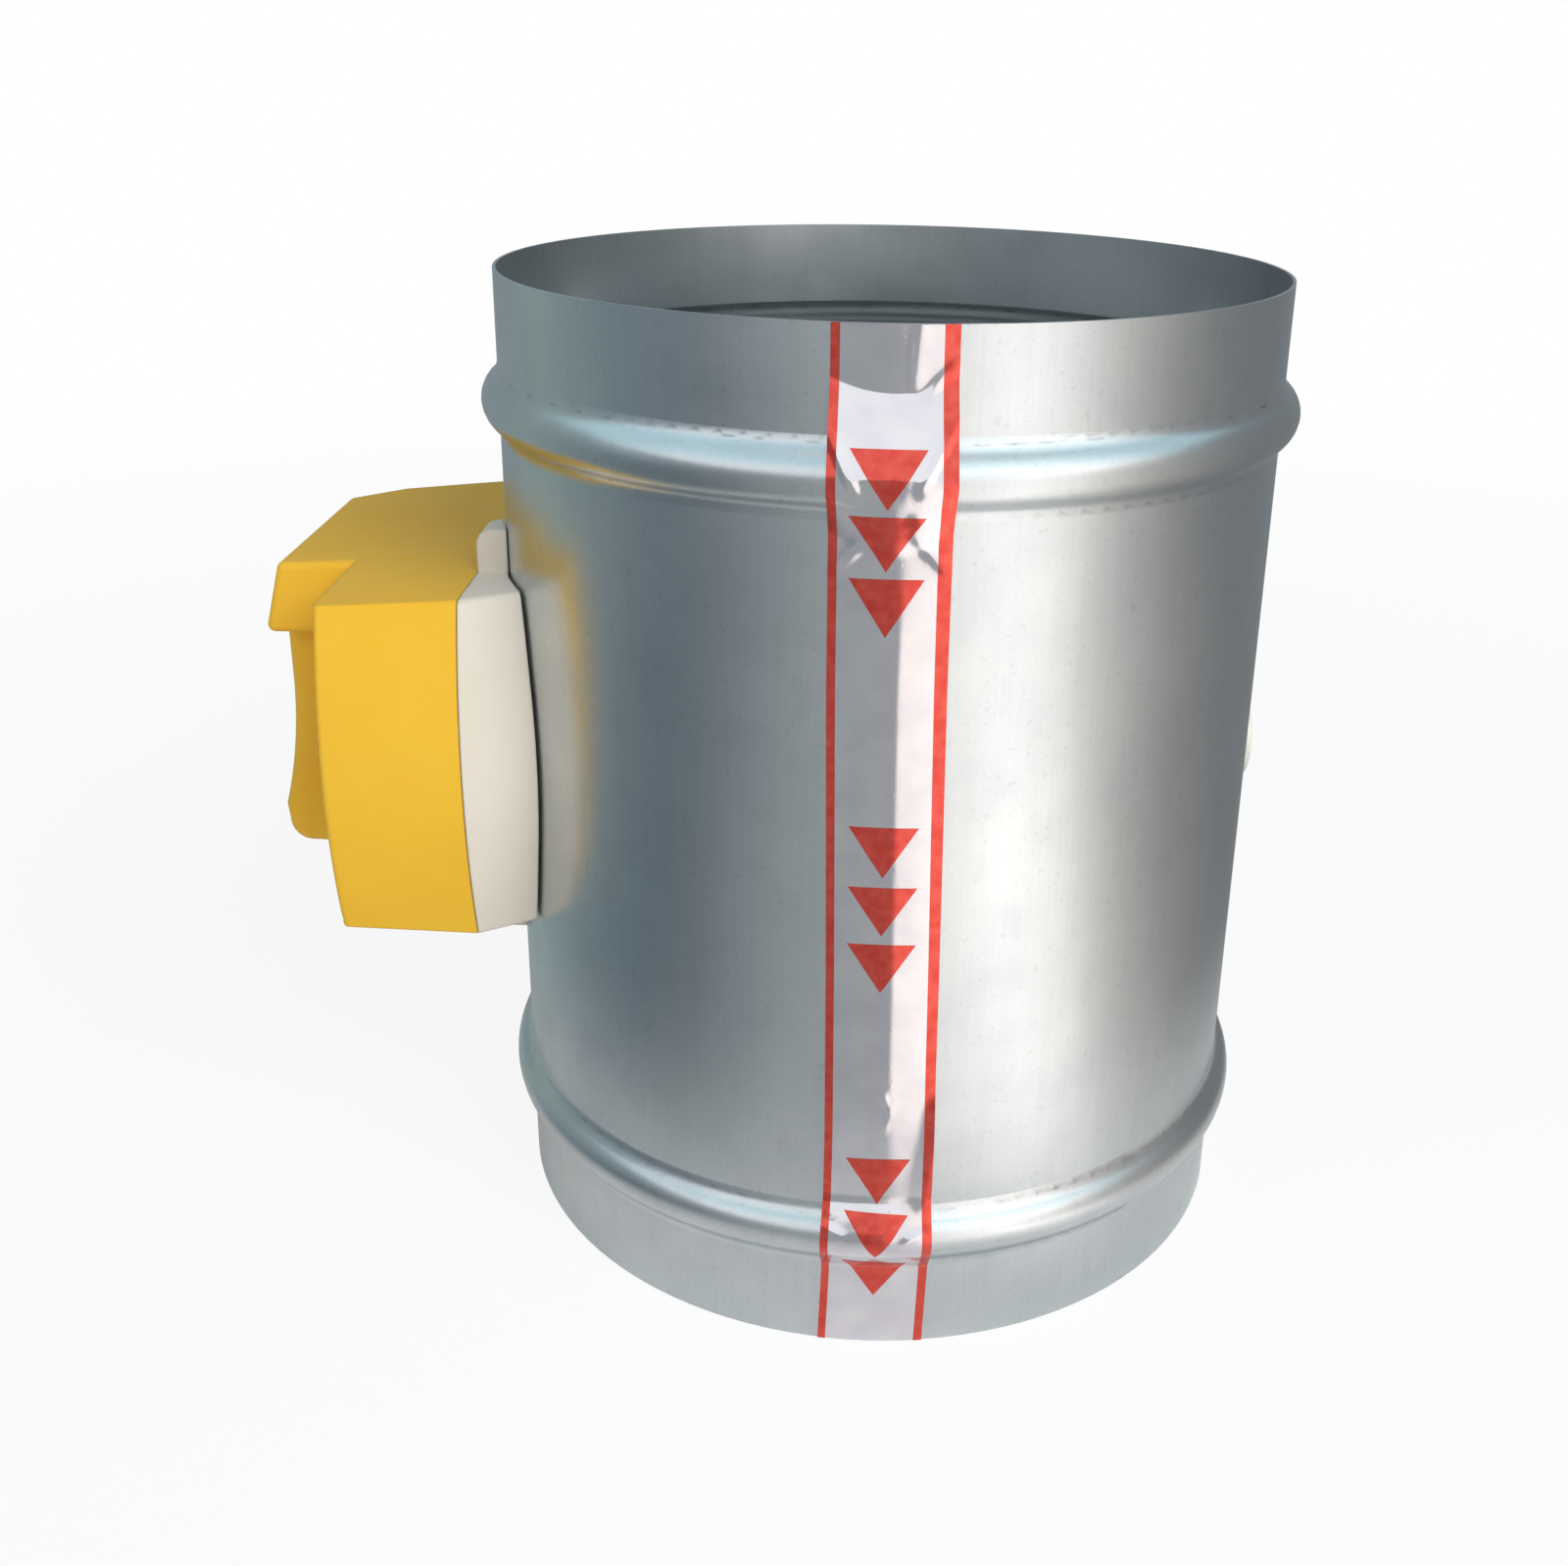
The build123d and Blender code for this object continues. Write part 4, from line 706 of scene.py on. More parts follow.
@dataclass
class FlowTape:
    """Foil tape from rim to rim with two printed edge stripes and arrows that point down.

    The lean, the arrows and the creases are in millimetres, and the rest is in metres.
    """

    duct: BeadedDuct
    width: float = 25.95 * MM
    lift: float = 0.2 * MM
    thickness: float = 0.1 * MM
    ink_lift: float = 0.05 * MM
    ink_thickness: float = 0.03 * MM
    left_stripe: float = 1.9 * MM
    right_stripe: Pair = (2.1 * MM, 3.2 * MM)
    stripe_cells: tuple[int, int] = (4, 6)
    cell: float = 0.5 * MM
    wear: float = 0.3 * MM
    wear_mm: float = 2.0
    rim_gap: float = 0.1 * MM
    lean: tuple[Pair, ...] = (
        (0.0, -0.3), (20.0, 0.4), (60.0, 0.7), (104.0, 0.38), (174.0, -0.5), (251.0, -0.69),
    )
    arrows: tuple[TapeArrow, ...] = (
        TapeArrow(226.4, 213.7, -1.4, 15.5, 0.1),
        TapeArrow(212.1, 199.7, -1.4, 15.6, 0.2),
        TapeArrow(198.2, 185.3, -1.2, 15.9, 0.1),
        TapeArrow(141.1, 128.7, -0.3, 15.6, 0.2),
        TapeArrow(126.3, 114.1, -0.2, 15.6, 0.2),
        TapeArrow(111.9, 99.4, -0.1, 15.6, 0.2),
        TapeArrow(54.0, 41.4, 0.6, 15.3, 0.2),
        TapeArrow(39.6, 28.0, 0.4, 15.2, 0.9),
        TapeArrow(25.2, 14.1, 0.3, 15.4, 1.4),
    )
    creases: tuple[Crease, ...] = (
        Crease((5.9, 258.0), (4.2, 235.0), 1.5, 0.13),
        Crease((3.2, 250.0), (3.0, 238.0), 0.6, 0.05),
        Crease((15.5, 246.5), (5.0, 235.0), 1.3, 0.26),
        Crease((2.6, 206.0), (1.8, 120.0), 2.0, 0.07),
        Crease((2.2, 140.0), (2.0, 48.0), 2.0, 0.07),
        Crease((15.0, 237.0), (4.6, 216.5), 1.1, 0.45),
        Crease((17.0, 219.5), (3.5, 216.6), 1.9, 0.24),
        Crease((15.0, 197.0), (3.6, 209.5), 1.6, 0.36),
        Crease((16.0, 205.0), (3.0, 213.0), 2.2, 0.34),
        Crease((-15.0, 235.0), (-5.8, 214.0), 1.2, 0.40),
        Crease((-15.0, 217.0), (-5.5, 214.5), 1.0, 0.25),
        Crease((-15.0, 196.0), (-3.5, 209.0), 1.8, 0.42),
        Crease((17.0, 80.0), (12.0, 34.0), 4.0, 1.1),
        Crease((15.0, 37.5), (5.0, 32.0), 1.0, 0.22),
        Crease((-14.0, 37.0), (-6.0, 33.0), 0.9, 0.12),
        Crease((14.0, 22.0), (5.0, 27.0), 1.0, 0.18),
        Crease((3.0, 20.0), (7.5, 3.0), 1.4, 0.14),
        Crease((0.0, 74.0), (3.4, 64.0), 0.8, 0.10),
        Crease((0.6, 60.0), (4.0, 72.0), 0.8, 0.08),
    )
    swells: tuple[Swell, ...] = (Swell(0.030, 10.0, 18.0, 11.0), Swell(0.006, 2.4, 4.6, 5.0))
    bead_swell: Swell = Swell(0.08, 3.2, 4.5, 15.0)
    bead_reach: float = 11.0 * MM
    lift_off_high: Pair = (17.7 * MM, 16.0 * MM)
    lift_off_low: Pair = (11.0 * MM, 9.0 * MM)
    edge_shift: Pair = (3.3 * MM, -5.0 * MM)
    bend: float = 0.8 * MM

    def middle(self, height: float) -> float:
        """Where the tape's middle lies across the duct.

        Args:
            height: Height above the lower rim.

        Returns:
            The distance towards +X.
        """
        level = height / MM
        for (low, a), (high, b) in zip(self.lean, self.lean[1:]):
            if level <= high:
                return (a + (b - a) * (level - low) / (high - low)) * MM
        return self.lean[-1][1] * MM

    def stand_off(self, across: float, height: float) -> float:
        """How far the foil's face stands out from the duct's plain wall.

        Args:
            across: Distance across the tape from its middle.
            height: Height above the lower rim.

        Returns:
            The stand-off in metres: tented over the beads, pressed in at the edges and creased.
        """
        high = height > self.duct.length / 2
        above, below = self.lift_off_high if high else self.lift_off_low
        if high:
            side = min(abs(across) / (self.width / 2), 1.0) ** 2
            above += self.edge_shift[0] * side
            below += self.edge_shift[1] * side
        steps = (-self.bend, -self.bend / 2, 0.0, self.bend / 2, self.bend)
        out = sum(self.duct.tented(height + step, above, below) for step in steps) / len(steps)
        bead = self.duct.length - self.duct.bead_inset if high else self.duct.bead_inset
        near = math.exp(-(((height - bead) / self.bead_reach) ** 2))
        spot = (across / MM, height / MM)
        swell = sum(form.at(*spot) for form in (*self.swells, *self.creases))
        return out + self.lift + (swell + near * self.bead_swell.at(*spot)) * MM

    def laid(self, across: float, height: float, lift: float) -> Vector:
        """Point of the tape in the frame.

        Args:
            across: Distance across the tape from its middle.
            height: Height above the lower rim.
            lift: Distance out from the foil's face.

        Returns:
            The place, in metres.
        """
        angle = (across + self.middle(height)) / self.duct.radius
        out = self.duct.radius + self.stand_off(across, height) + lift
        return Vector((out * math.sin(angle), -out * math.cos(angle), height))

    def drape(self, shape: Shape, lift: float, thickness: float) -> None:
        """Lays a flat shape on the duct and gives it its thickness.

        Args:
            shape: Flat mesh, with X across the tape and Y up the duct.
            lift: Distance of its outer face from the foil's face.
            thickness: How thick the strip becomes, inwards.
        """
        for vert in shape.verts:
            vert.co = self.laid(vert.co.x, vert.co.y, lift)
        bmesh.ops.recalc_face_normals(shape, faces=shape.faces)
        outward = sum((face.normal for face in shape.faces), Vector())
        if outward.y > 0:
            bmesh.ops.reverse_faces(shape, faces=shape.faces)
        bmesh.ops.solidify(shape, geom=shape.faces[:], thickness=thickness)

    def strip(self, low: float, high: float, cells: int) -> Shape:
        """Flat strip over the tape's whole length.

        Args:
            low: Its edge nearer -X, from the tape's middle.
            high: Its other edge.
            cells: Number of cells across.

        Returns:
            The strip, with X across and Y up.
        """
        length = self.duct.length
        shape = bmesh.new()
        rows = round(length / self.cell)
        bmesh.ops.create_grid(shape, x_segments=cells, y_segments=rows, size=0.5)
        bmesh.ops.scale(shape, vec=(high - low, length, 1.0), verts=shape.verts)
        bmesh.ops.translate(shape, vec=((low + high) / 2, length / 2, 0.0), verts=shape.verts)
        return shape

    def foil(self) -> Piece:
        """The creased foil strip.

        Returns:
            The new piece.
        """
        half = self.width / 2
        shape = self.strip(-half, half, round(self.width / self.cell))
        for vert in shape.verts:
            if vert.is_boundary:
                level = vert.co.y + self.wear * noise.noise(vert.co * per_metre(self.wear_mm))
                vert.co.y = min(max(level, self.rim_gap), self.duct.length - self.rim_gap)
        self.drape(shape, 0.0, self.thickness)
        return mesh_object("tape_foil", shape)

    def stripes(self) -> Piece:
        """The two printed edge stripes.

        Returns:
            The new piece.
        """
        half = self.width / 2
        shape = self.strip(-half, self.left_stripe - half, self.stripe_cells[0])
        other = self.strip(0.0, 1.0, self.stripe_cells[1])
        low, high = self.right_stripe
        for vert in other.verts:
            wide = low + (high - low) * vert.co.y / self.duct.length
            vert.co.x = half - wide * (1.0 - vert.co.x)
        join(shape, other)
        self.drape(shape, self.ink_lift, self.ink_thickness)
        return mesh_object("tape_stripes_print", shape)

    def arrowheads(self) -> Piece:
        """The printed arrowheads, cut fine enough to follow the creases.

        Returns:
            The new piece.
        """
        shape = bmesh.new()
        for arrow in self.arrows:
            half, tilt = arrow.width * MM / 2, arrow.tilt * MM / 2
            tips = (
                (arrow.middle * MM - half, arrow.top * MM + tilt, 0.0),
                (arrow.middle * MM, arrow.tip * MM, 0.0),
                (arrow.middle * MM + half, arrow.top * MM - tilt, 0.0),
            )
            shape.faces.new([shape.verts.new(tip) for tip in tips])
        cuts = round(self.arrows[0].width * MM / self.cell)
        bmesh.ops.subdivide_edges(shape, edges=shape.edges, cuts=cuts, use_grid_fill=True)
        for vert in shape.verts:
            vert.co.x -= self.middle(vert.co.y)
        self.drape(shape, self.ink_lift, self.ink_thickness)
        return mesh_object("tape_arrows_print", shape)

    def build(self) -> None:
        """Makes the tape and its print, and hides the plain solids that stood for them."""
        foil = hand_out(self.foil(), "foil_tape", Body.DUCT)
        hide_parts("flow_tape")
        stripes = hand_out(self.stripes(), "red_print", Body.DUCT)
        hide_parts("tape_edge_stripes")
        arrows = hand_out(self.arrowheads(), "red_print", Body.DUCT)
        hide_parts("tape_arrows")


@dataclass
class ActuatorBase:
    """The actuator's base, with the edges of its saddle drawn in until they meet the duct."""

    saddle_axis: float = 32.7 * MM
    saddle_radius: float = 132.0 * MM
    seat_radius: float = 99.7 * MM
    side_from: float = 42.0 * MM
    side_full: float = 52.0 * MM
    draw_in: Pair = (9.5 * MM, 4.0 * MM)
    split: float = -102.7 * MM
    root: float = -86.0 * MM
    slice_width: float = 6.0 * MM
    tolerance: float = 0.05 * MM
    smooth_degrees: float = 30.0

    def on_saddle(self, face: bmesh.types.BMFace) -> bool:
        """Whether all of a face's corners lie on the saddle's cylinder."""
        reaches = (math.hypot(vert.co.x - self.saddle_axis, vert.co.y) for vert in face.verts)
        return all(abs(reach - self.saddle_radius) < self.tolerance for reach in reaches)

    def lean_in(self, vert: Vert) -> None:
        """Leans the side walls in, more towards the duct, with all that stands on them.

        Args:
            vert: The corner that is moved, if it is near a side wall.
        """
        side = (abs(vert.co.y) - self.side_from) / (self.side_full - self.side_from)
        depth = (vert.co.x - self.split) / (self.root - self.split)
        front, rear = self.draw_in
        shift = (front if vert.co.y < 0 else rear) * min(max(side, 0.0), 1.0)
        vert.co.y -= math.copysign(shift * min(max(depth, 0.0), 1.0), vert.co.y)

    def seat(self, vert: Vert) -> None:
        """Brings a corner of the saddle on to the duct, where it stood off."""
        hollow = self.saddle_axis - math.sqrt(self.saddle_radius**2 - vert.co.y**2)
        vert.co.x = max(hollow, -math.sqrt(self.seat_radius**2 - vert.co.y**2))

    def build(self) -> None:
        """Copies the base's shape, slices its saddle finely and seats it."""
        shape = bmesh.new()
        shape.from_mesh(frame["nodes"]["actuator_base"].data)
        bmesh.ops.remove_doubles(shape, verts=shape.verts, dist=10 * HAIR)
        saddle = [face for face in shape.faces if self.on_saddle(face)]
        reach = round(self.saddle_radius / self.slice_width)
        for step in range(-reach, reach + 1):
            edges = {edge for face in saddle for edge in face.edges}
            verts = {vert for face in saddle for vert in face.verts}
            cut = bmesh.ops.bisect_plane(
                shape,
                geom=[*saddle, *edges, *verts],
                dist=self.tolerance / 10,
                plane_co=(0.0, step * self.slice_width, 0.0),
                plane_no=(0.0, 1.0, 0.0),
            )
            saddle = [item for item in cut["geom"] if isinstance(item, bmesh.types.BMFace)]
        for vert in shape.verts:
            self.lean_in(vert)
        for vert in {vert for face in saddle for vert in face.verts}:
            self.seat(vert)
        bmesh.ops.triangulate(shape, faces=shape.faces)
        base = mesh_object("base_shell", shape, self.smooth_degrees)
        base = hand_out(base, "base_plastic", Body.DUCT)
        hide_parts("actuator_base")


@dataclass
class CrossScrews:
    """Cross-recessed screws that replace the plain ones of a CAD node, in millimetres.

    Each lies along X, with its head's top towards -X at the given height and place (Y, Z).
    The sizes of the cross are shares of the head's radius and height.
    """

    node: str
    top: float
    tip: float
    head_radius: float
    head_height: float
    shank_radius: float
    places: tuple[Pair, ...]
    countersunk: bool = False
    arm_half: float = 0.15
    arm_length: float = 0.62
    recess_depth: float = 0.55
    recess_taper: float = 0.7
    rounding: float = 0.35
    rounding_middle: float = 0.3
    countersunk_rim: float = 0.25
    turn_step: float = 0.7
    segments: int = 36
    smooth_degrees: float = 35.0

    def recess(self, shape: Shape) -> None:
        """Sinks a tapered cross into the head's flat top.

        Args:
            shape: The head's top, flat at Z = 0.
        """
        half = self.arm_half * self.head_radius * MM
        far = self.arm_length * self.head_radius * MM
        for place in (-far, -half, half, far):
            for axis in ((1.0, 0.0, 0.0), (0.0, 1.0, 0.0)):
                geom = [*shape.faces, *shape.edges, *shape.verts]
                co = Vector(axis) * place
                bmesh.ops.bisect_plane(shape, geom=geom, dist=HAIR, plane_co=co, plane_no=axis)
        cross = []
        for face in shape.faces:
            x, y, _ = face.calc_center_median()
            low, high = sorted((abs(x), abs(y)))
            if low < half and high < far:
                cross.append(face)
        sunk = bmesh.ops.extrude_face_region(shape, geom=cross)
        floor = [item for item in sunk["geom"] if isinstance(item, Vert)]
        depth = self.recess_depth * self.head_height * MM
        bmesh.ops.scale(shape, vec=(self.recess_taper, self.recess_taper, 1.0), verts=floor)
        bmesh.ops.translate(shape, vec=(0.0, 0.0, -depth), verts=floor)

    def screw(self) -> Shape:
        """One screw with its cross, head, shank and tip.

        Returns:
            The screw, down from the origin.
        """
        head, seat, shank = self.head_radius, self.head_height, self.shank_radius
        edge = 0.0 if self.countersunk else self.rounding * seat
        turn = self.rounding_middle * edge
        length = self.tip - self.top
        pan = [(head - turn, turn), (head, edge), (head, seat)]
        rings = [(head, self.countersunk_rim)] if self.countersunk else pan
        rings += [(shank, seat), (shank, length - shank / 2), (shank / 2, length)]
        last, level = head - edge, 0.0
        shape = bmesh.new()
        bmesh.ops.create_circle(shape, cap_ends=True, segments=self.segments, radius=last * MM)
        self.recess(shape)
        for radius, depth in rings:
            rim = [edge for edge in shape.edges if edge.is_boundary]
            ring = bmesh.ops.extrude_edge_only(shape, edges=rim)
            verts = [item for item in ring["geom"] if isinstance(item, Vert)]
            bmesh.ops.scale(shape, vec=(radius / last, radius / last, 1.0), verts=verts)
            bmesh.ops.translate(shape, vec=(0.0, 0.0, (level - depth) * MM), verts=verts)
            last, level = radius, depth
        bmesh.ops.holes_fill(shape, edges=[edge for edge in shape.edges if edge.is_boundary])
        bmesh.ops.recalc_face_normals(shape, faces=shape.faces)
        return shape

    def build(self) -> None:
        """Makes the set, each screw driven home at its own angle."""
        shape = bmesh.new()
        lying = Matrix.Rotation(math.radians(-90), 4, "Y")
        for count, (across, height) in enumerate(self.places):
            screw = self.screw()
            turn = lying @ Matrix.Rotation(count * self.turn_step, 4, "Z")
            place = Matrix.Translation(Vector((self.top, across, height)) * MM)
            bmesh.ops.transform(screw, matrix=place @ turn, verts=screw.verts)
            join(shape, screw)
        made = mesh_object(f"{self.node}_cross", shape, self.smooth_degrees)
        made = hand_out(made, "zinc_steel", Body.DUCT)
        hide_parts(self.node)


# The actuator's screws, at the places that the CAD gives them
SCREW_SETS: tuple[CrossScrews, ...] = (
    CrossScrews(
        "cover_screws", -114.3, -95.7, 3.2, 1.6, 1.75,
        ((46.0, 98.5), (-47.0, 165.5), (-47.0, 98.5), (46.0, 165.5)),
    ),
    CrossScrews(
        "base_fixing_screws", -102.7, -93.2, 3.4, 1.65, 1.75,
        ((-24.0, 81.75), (24.0, 182.2), (24.0, 81.75), (-24.0, 182.2)), True,
    ),
    CrossScrews(
        "plate_screws", -123.1, -108.3, 2.8, 1.8, 1.3,
        ((62.0, 155.5), (-28.0, 110.5), (-28.0, 155.5), (62.0, 110.5)),
    ),
    CrossScrews(
        "motor_screws", -124.7, -117.9, 2.8, 1.8, 1.3,
        ((35.22, 146.76), (53.03, 125.53), (25.74, 120.71)),
    ),
    CrossScrews(
        "board_screws", -126.5, -117.3, 1.8, 1.2, 0.9,
        ((-37.0, 155.5), (-51.5, 108.5), (-51.5, 155.5), (-37.0, 108.5)),
    ),
)


@dataclass
class PhotoCamera:
    """Camera at the photograph's viewing angle, for an image of 1600 by 1598."""

    place: Triple = (-0.00834, -0.44125, 0.30249)
    aim: Triple = (-0.01164, 0.93511, -0.35418)
    roll_degrees: float = 0.906
    lens: float = 39.27
    sensor: float = 36.0
    shift: Pair = (-0.0294, -0.0582)
    clip: Pair = (0.01, 50.0)

    def build(self) -> None:
        """Makes the camera and puts the scene on it."""
        data = bpy.data.cameras.new("photo_camera")
        data.sensor_width = self.sensor
        data.lens = self.lens
        data.shift_x, data.shift_y = self.shift
        data.clip_start, data.clip_end = self.clip
        camera = bpy.data.objects.new("photo_camera", data)
        turn = Vector(self.aim).to_track_quat("-Z", "Y").to_matrix().to_4x4()
        roll = Matrix.Rotation(math.radians(self.roll_degrees), 4, "Z")
        camera.matrix_world = Matrix.Translation(self.place) @ turn @ roll
        bpy.context.scene.collection.objects.link(camera)
        bpy.context.scene.camera = camera
        LOG.info("camera at %s", self.place)


@dataclass
class LightTent:
    """Paper tent round the damper that only shiny surfaces see, in place of a room.

    Each shade gives the brightness in one direction, in degrees from the front towards +X: a
    broad bright opening at the front right and dimmer, cooler paper elsewhere. Near the damper
    the tent's floor fades out, and the white studio floor shows.
    """

    floor_inner: float = 0.10
    floor_height: float = 2 * MM
    floor_fade: Pair = (0.10, 0.22)
    haze_from: Pair = (0.4, 1.0)
    haze_share: float = 0.08
    haze: str = "6A7173"
    radius: float = 1.6
    segments: int = 96
    front_top: float = 0.30
    back_top: float = 1.3
    back_rise: float = 1.6
    canopy_radius: float = 0.55
    canopy_top: float = 1.7
    canopy_rim: Pair = (0.75, 1.15)
    rim_tone: str = "E6E8EA"
    canopy_tone: str = "B8D3DB"
    canopy_strength: float = 1.5
    strength: float = 2.3
    shades: tuple[tuple[float, str], ...] = (
        (-180.0, "596267"), (-137.0, "656F73"), (-110.0, "707E7B"), (-90.0, "626F72"),
        (-74.0, "525E63"), (-60.0, "48535A"), (-47.0, "51585B"), (-33.0, "686D70"),
        (-20.0, "7A7D7E"), (-8.0, "787C7C"), (3.4, "7B7D7E"), (5.0, "CDC6C1"),
        (14.0, "D6D0CB"), (33.0, "F0EBE6"), (45.0, "DED8D3"), (57.0, "ABA6A1"),
        (70.0, "8C8884"), (85.0, "716F6D"), (102.0, "5E5E5F"), (125.0, "57595B"),
        (180.0, "596267"),
    )

    def wall_tone(self, nodes: Nodes, where: Socket, away: Socket) -> Socket:
        """The shades round the tent, with haze far out.

        Args:
            nodes: The paper's node tree.
            where: Object coordinates.
            away: Distance from the damper.

        Returns:
            The socket with the paper's colour.
        """
        inputs = {"Vector": where, "Rotation": (0.0, 0.0, math.pi / 2)}
        turned = nodes.add("Mapping", inputs).outputs[0]
        angle = nodes.add("TexGradient", {"Vector": turned}, gradient_type="RADIAL").outputs[1]
        ramp = nodes.add("ValToRGB", {0: angle})
        ramp.color_ramp.interpolation = "EASE"
        stops = ramp.color_ramp.elements
        stops[0].position, stops[-1].position = 0.0, 1.0
        for degrees, _ in self.shades[1:-1]:
            stops.new(degrees / 360 + 0.5)
        for stop, (_, tone) in zip(stops, self.shades):
            stop.color = linear(tone)
        near, far = self.haze_from
        inputs = {"Value": away, "From Min": near, "From Max": far, "To Max": self.haze_share}
        share = nodes.add("MapRange", inputs).outputs[0]
        return nodes.blend(share, ramp.outputs[0], linear(self.haze))

    def paper(self) -> bpy.types.Material:
        """Glowing paper with the shades round it, clear next to the damper.

        Returns:
            The paper.
        """
        material = bpy.data.materials.new("tent_paper")
        nodes = Nodes(material)
        where = nodes.add("TexCoord").outputs["Object"]
        away = nodes.add("VectorMath", {0: where}, operation="LENGTH").outputs["Value"]
        tone = self.wall_tone(nodes, where, away)
        wall = nodes.add("Emission", {"Color": tone, "Strength": self.strength}).outputs[0]
        level = nodes.add("SeparateXYZ", {0: where}).outputs[2]
        low, high = self.canopy_rim
        inputs = {"Value": level, "From Min": low, "From Max": high}
        rise = nodes.add("MapRange", inputs).outputs[0]
        sky = nodes.blend(rise, linear(self.rim_tone), linear(self.canopy_tone))
        inputs = {"Color": sky, "Strength": self.canopy_strength}
        canopy = nodes.add("Emission", inputs).outputs[0]
        overhead = nodes.add("UVMap", uv_map="overhead").outputs[0]
        overhead = nodes.add("SeparateXYZ", {0: overhead}).outputs[0]
        glow = nodes.add("MixShader", {0: overhead, 1: wall, 2: canopy}).outputs[0]
        near, far = self.floor_fade
        inputs = {"Value": away, "From Min": near, "From Max": far}
        fade = nodes.add("MapRange", inputs, interpolation_type="SMOOTHSTEP").outputs[0]
        clear = nodes.add("BsdfTransparent").outputs[0]
        mixed = nodes.add("MixShader", {0: fade, 1: clear, 2: glow}).outputs[0]
        nodes.add("OutputMaterial", {"Surface": mixed})
        return material

    def build(self) -> None:
        """Makes the floor ring, the wall and the canopy, open at the very top, seen only by
        mirrored rays.
        """
        shape = bmesh.new()
        overhead = shape.loops.layers.uv.new("overhead")
        profile = (
            (self.floor_inner, self.floor_height),
            (self.radius, self.floor_height),
            (self.radius, self.front_top),
            (self.canopy_radius, self.canopy_top),
        )
        line = [shape.verts.new((0.0, -away, level)) for away, level in profile]
        geom = [*line, *(shape.edges.new(pair) for pair in zip(line, line[1:]))]
        turn = {"axis": (0, 0, 1), "cent": (0, 0, 0), "angle": math.tau}
        bmesh.ops.spin(shape, geom=geom, steps=self.segments, use_merge=True, **turn)
        for face in shape.faces:
            share = float(face.calc_center_median().z > self.front_top)
            for loop in face.loops:
                loop[overhead].uv = (share, 0.0)
        for vert in shape.verts:
            if abs(vert.co.z - self.front_top) < MM:
                back = 0.5 + 0.5 * vert.co.y / self.radius
                vert.co.z += (self.back_top - self.front_top) * min(self.back_rise * back, 1.0)
        tent = mesh_object("light_tent", shape)
        tent.data.materials.append(self.paper())
        for ray in ("camera", "diffuse", "transmission", "shadow"):
            setattr(tent, f"visible_{ray}", False)


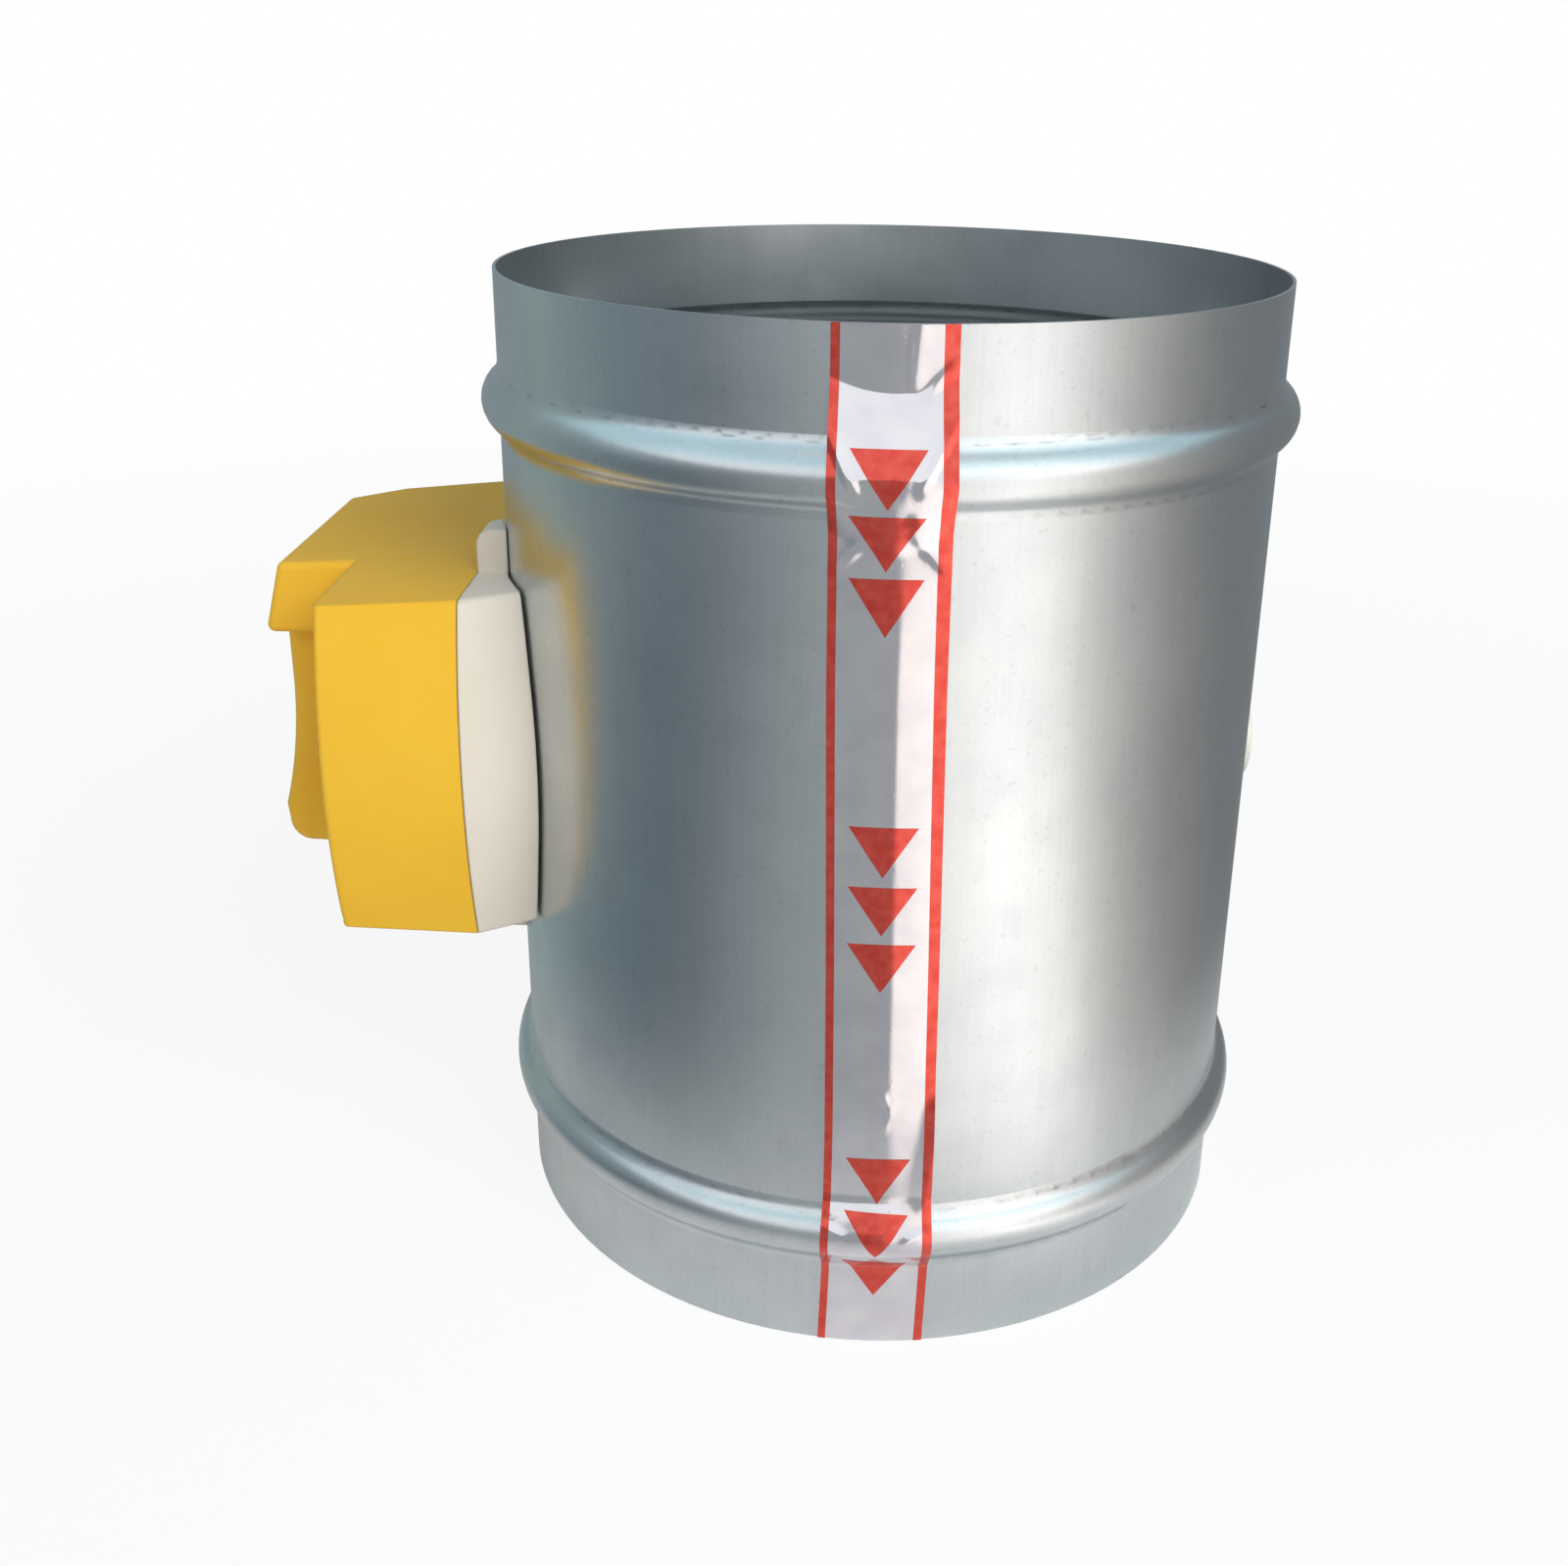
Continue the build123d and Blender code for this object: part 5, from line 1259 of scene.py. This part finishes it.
@dataclass
class Studio:
    """Pale floor, soft lamps, a light tent for the metal and a white background."""

    floor_half: float = 6.0
    floor_below: float = 0.2 * MM
    floor_tone: str = "F2F2F1"
    seen_glow: float = 0.88
    mirrored_glow: float = 0.15
    glow_reach: Pair = (0.25, 1.2)
    lamp_aim: Triple = (0.0, 0.0, 0.125)
    key_power: float = 15.3
    key_place: Triple = (0.7, -1.0, 1.0)
    key_size: Pair = (0.9, 0.8)
    key_tone: str = "FFFBF4"
    fill_power: float = 4.5
    fill_place: Triple = (-1.3, -0.9, 0.9)
    fill_size: Pair = (0.8, 0.8)
    fill_tone: str = "EEF4FF"
    sky: str = "C3CDD6"
    sky_strength: float = 0.58

    def seen_directly(self, nodes: Nodes) -> Socket:
        """Marks what the camera sees, straight, mirrored or through something clear.

        Args:
            nodes: The node tree that gets the nodes.

        Returns:
            The socket with the mark, 1 for seen.
        """
        path = nodes.add("LightPath").outputs
        total = path["Is Camera Ray"]
        for name in ("Is Glossy Ray", "Is Transmission Ray"):
            total = nodes.add("Math", {0: total, 1: path[name]}, operation="MAXIMUM").outputs[0]
        return total

    def floor(self) -> None:
        """Pale floor that shows white but keeps the shadow of the damper."""
        shape = bmesh.new()
        bmesh.ops.create_grid(shape, x_segments=1, y_segments=1, size=self.floor_half)
        bmesh.ops.translate(shape, vec=(0, 0, -self.floor_below), verts=shape.verts)
        floor = mesh_object("studio_floor", shape)
        material = bpy.data.materials.new("matt_white_floor")
        nodes = Nodes(material)
        paper = nodes.add("BsdfDiffuse", {"Color": linear(self.floor_tone)}).outputs[0]
        glow = nodes.add("Emission", {"Color": (1, 1, 1, 1), "Strength": 1.0}).outputs[0]
        where = nodes.add("TexCoord").outputs["Object"]
        away = nodes.add("VectorMath", {0: where}, operation="LENGTH").outputs["Value"]
        straight = nodes.add("LightPath").outputs["Is Camera Ray"]
        inputs = {0: straight, 2: self.mirrored_glow, 3: self.seen_glow}
        near = nodes.add("Mix", inputs).outputs[0]
        low, high = self.glow_reach
        inputs = {"Value": away, "From Min": low, "From Max": high, "To Min": near, "To Max": 1.0}
        inputs = {0: self.seen_directly(nodes), 1: nodes.add("MapRange", inputs).outputs[0]}
        share = nodes.add("Math", inputs, operation="MULTIPLY").outputs[0]
        mixed = nodes.add("MixShader", {0: share, 1: paper, 2: glow}).outputs[0]
        nodes.add("OutputMaterial", {"Surface": mixed})
        floor.data.materials.append(material)

    def sky_light(self) -> None:
        """World that lights softly and shows white."""
        world = bpy.data.worlds.new("studio_world")
        nodes = Nodes(world)
        inputs = {"Color": linear(self.sky), "Strength": self.sky_strength}
        soft = nodes.add("Background", inputs).outputs[0]
        white = nodes.add("Background", {"Color": (1, 1, 1, 1), "Strength": 1.0}).outputs[0]
        inputs = {0: self.seen_directly(nodes), 1: soft, 2: white}
        mixed = nodes.add("MixShader", inputs).outputs[0]
        nodes.add("OutputWorld", {"Surface": mixed})
        bpy.context.scene.world = world

    def lamp(self, name: str, place: Triple, size: Pair, power: float, colour: str) -> None:
        """Adds a rectangular soft lamp that points at the damper's middle.

        Args:
            name: The lamp's name.
            place: Its middle, in metres.
            size: Its width and height, in metres.
            power: Its power in watts.
            colour: Its colour as sRGB hex.
        """
        data = bpy.data.lights.new(name, "AREA")
        data.shape = "RECTANGLE"
        data.size, data.size_y = size
        data.energy = power
        data.color = linear(colour)[:3]
        lamp = bpy.data.objects.new(name, data)
        aim = Vector(self.lamp_aim) - Vector(place)
        turn = aim.to_track_quat("-Z", "Y").to_matrix().to_4x4()
        lamp.matrix_world = Matrix.Translation(place) @ turn
        bpy.context.scene.collection.objects.link(lamp)

    def build(self) -> None:
        """Sets the floor, the background, the lamps and the tent."""
        self.floor()
        self.sky_light()
        self.lamp("key_lamp", self.key_place, self.key_size, self.key_power, self.key_tone)
        self.lamp("fill_lamp", self.fill_place, self.fill_size, self.fill_power, self.fill_tone)
        LightTent().build()
        LOG.info("studio set")


def main() -> None:
    """Builds the scene in order."""
    logging.basicConfig(level=logging.INFO, format="%(name)s %(message)s")
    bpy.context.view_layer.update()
    bpy.context.scene.view_settings.view_transform = "Standard"
    PhotoCamera().build()
    Studio().build()
    dress_frame()
    ActuatorBase().build()
    for screws in SCREW_SETS:
        screws.build()
    FlowTape(BeadedDuct()).build()


if __name__ == "__main__":
    main()
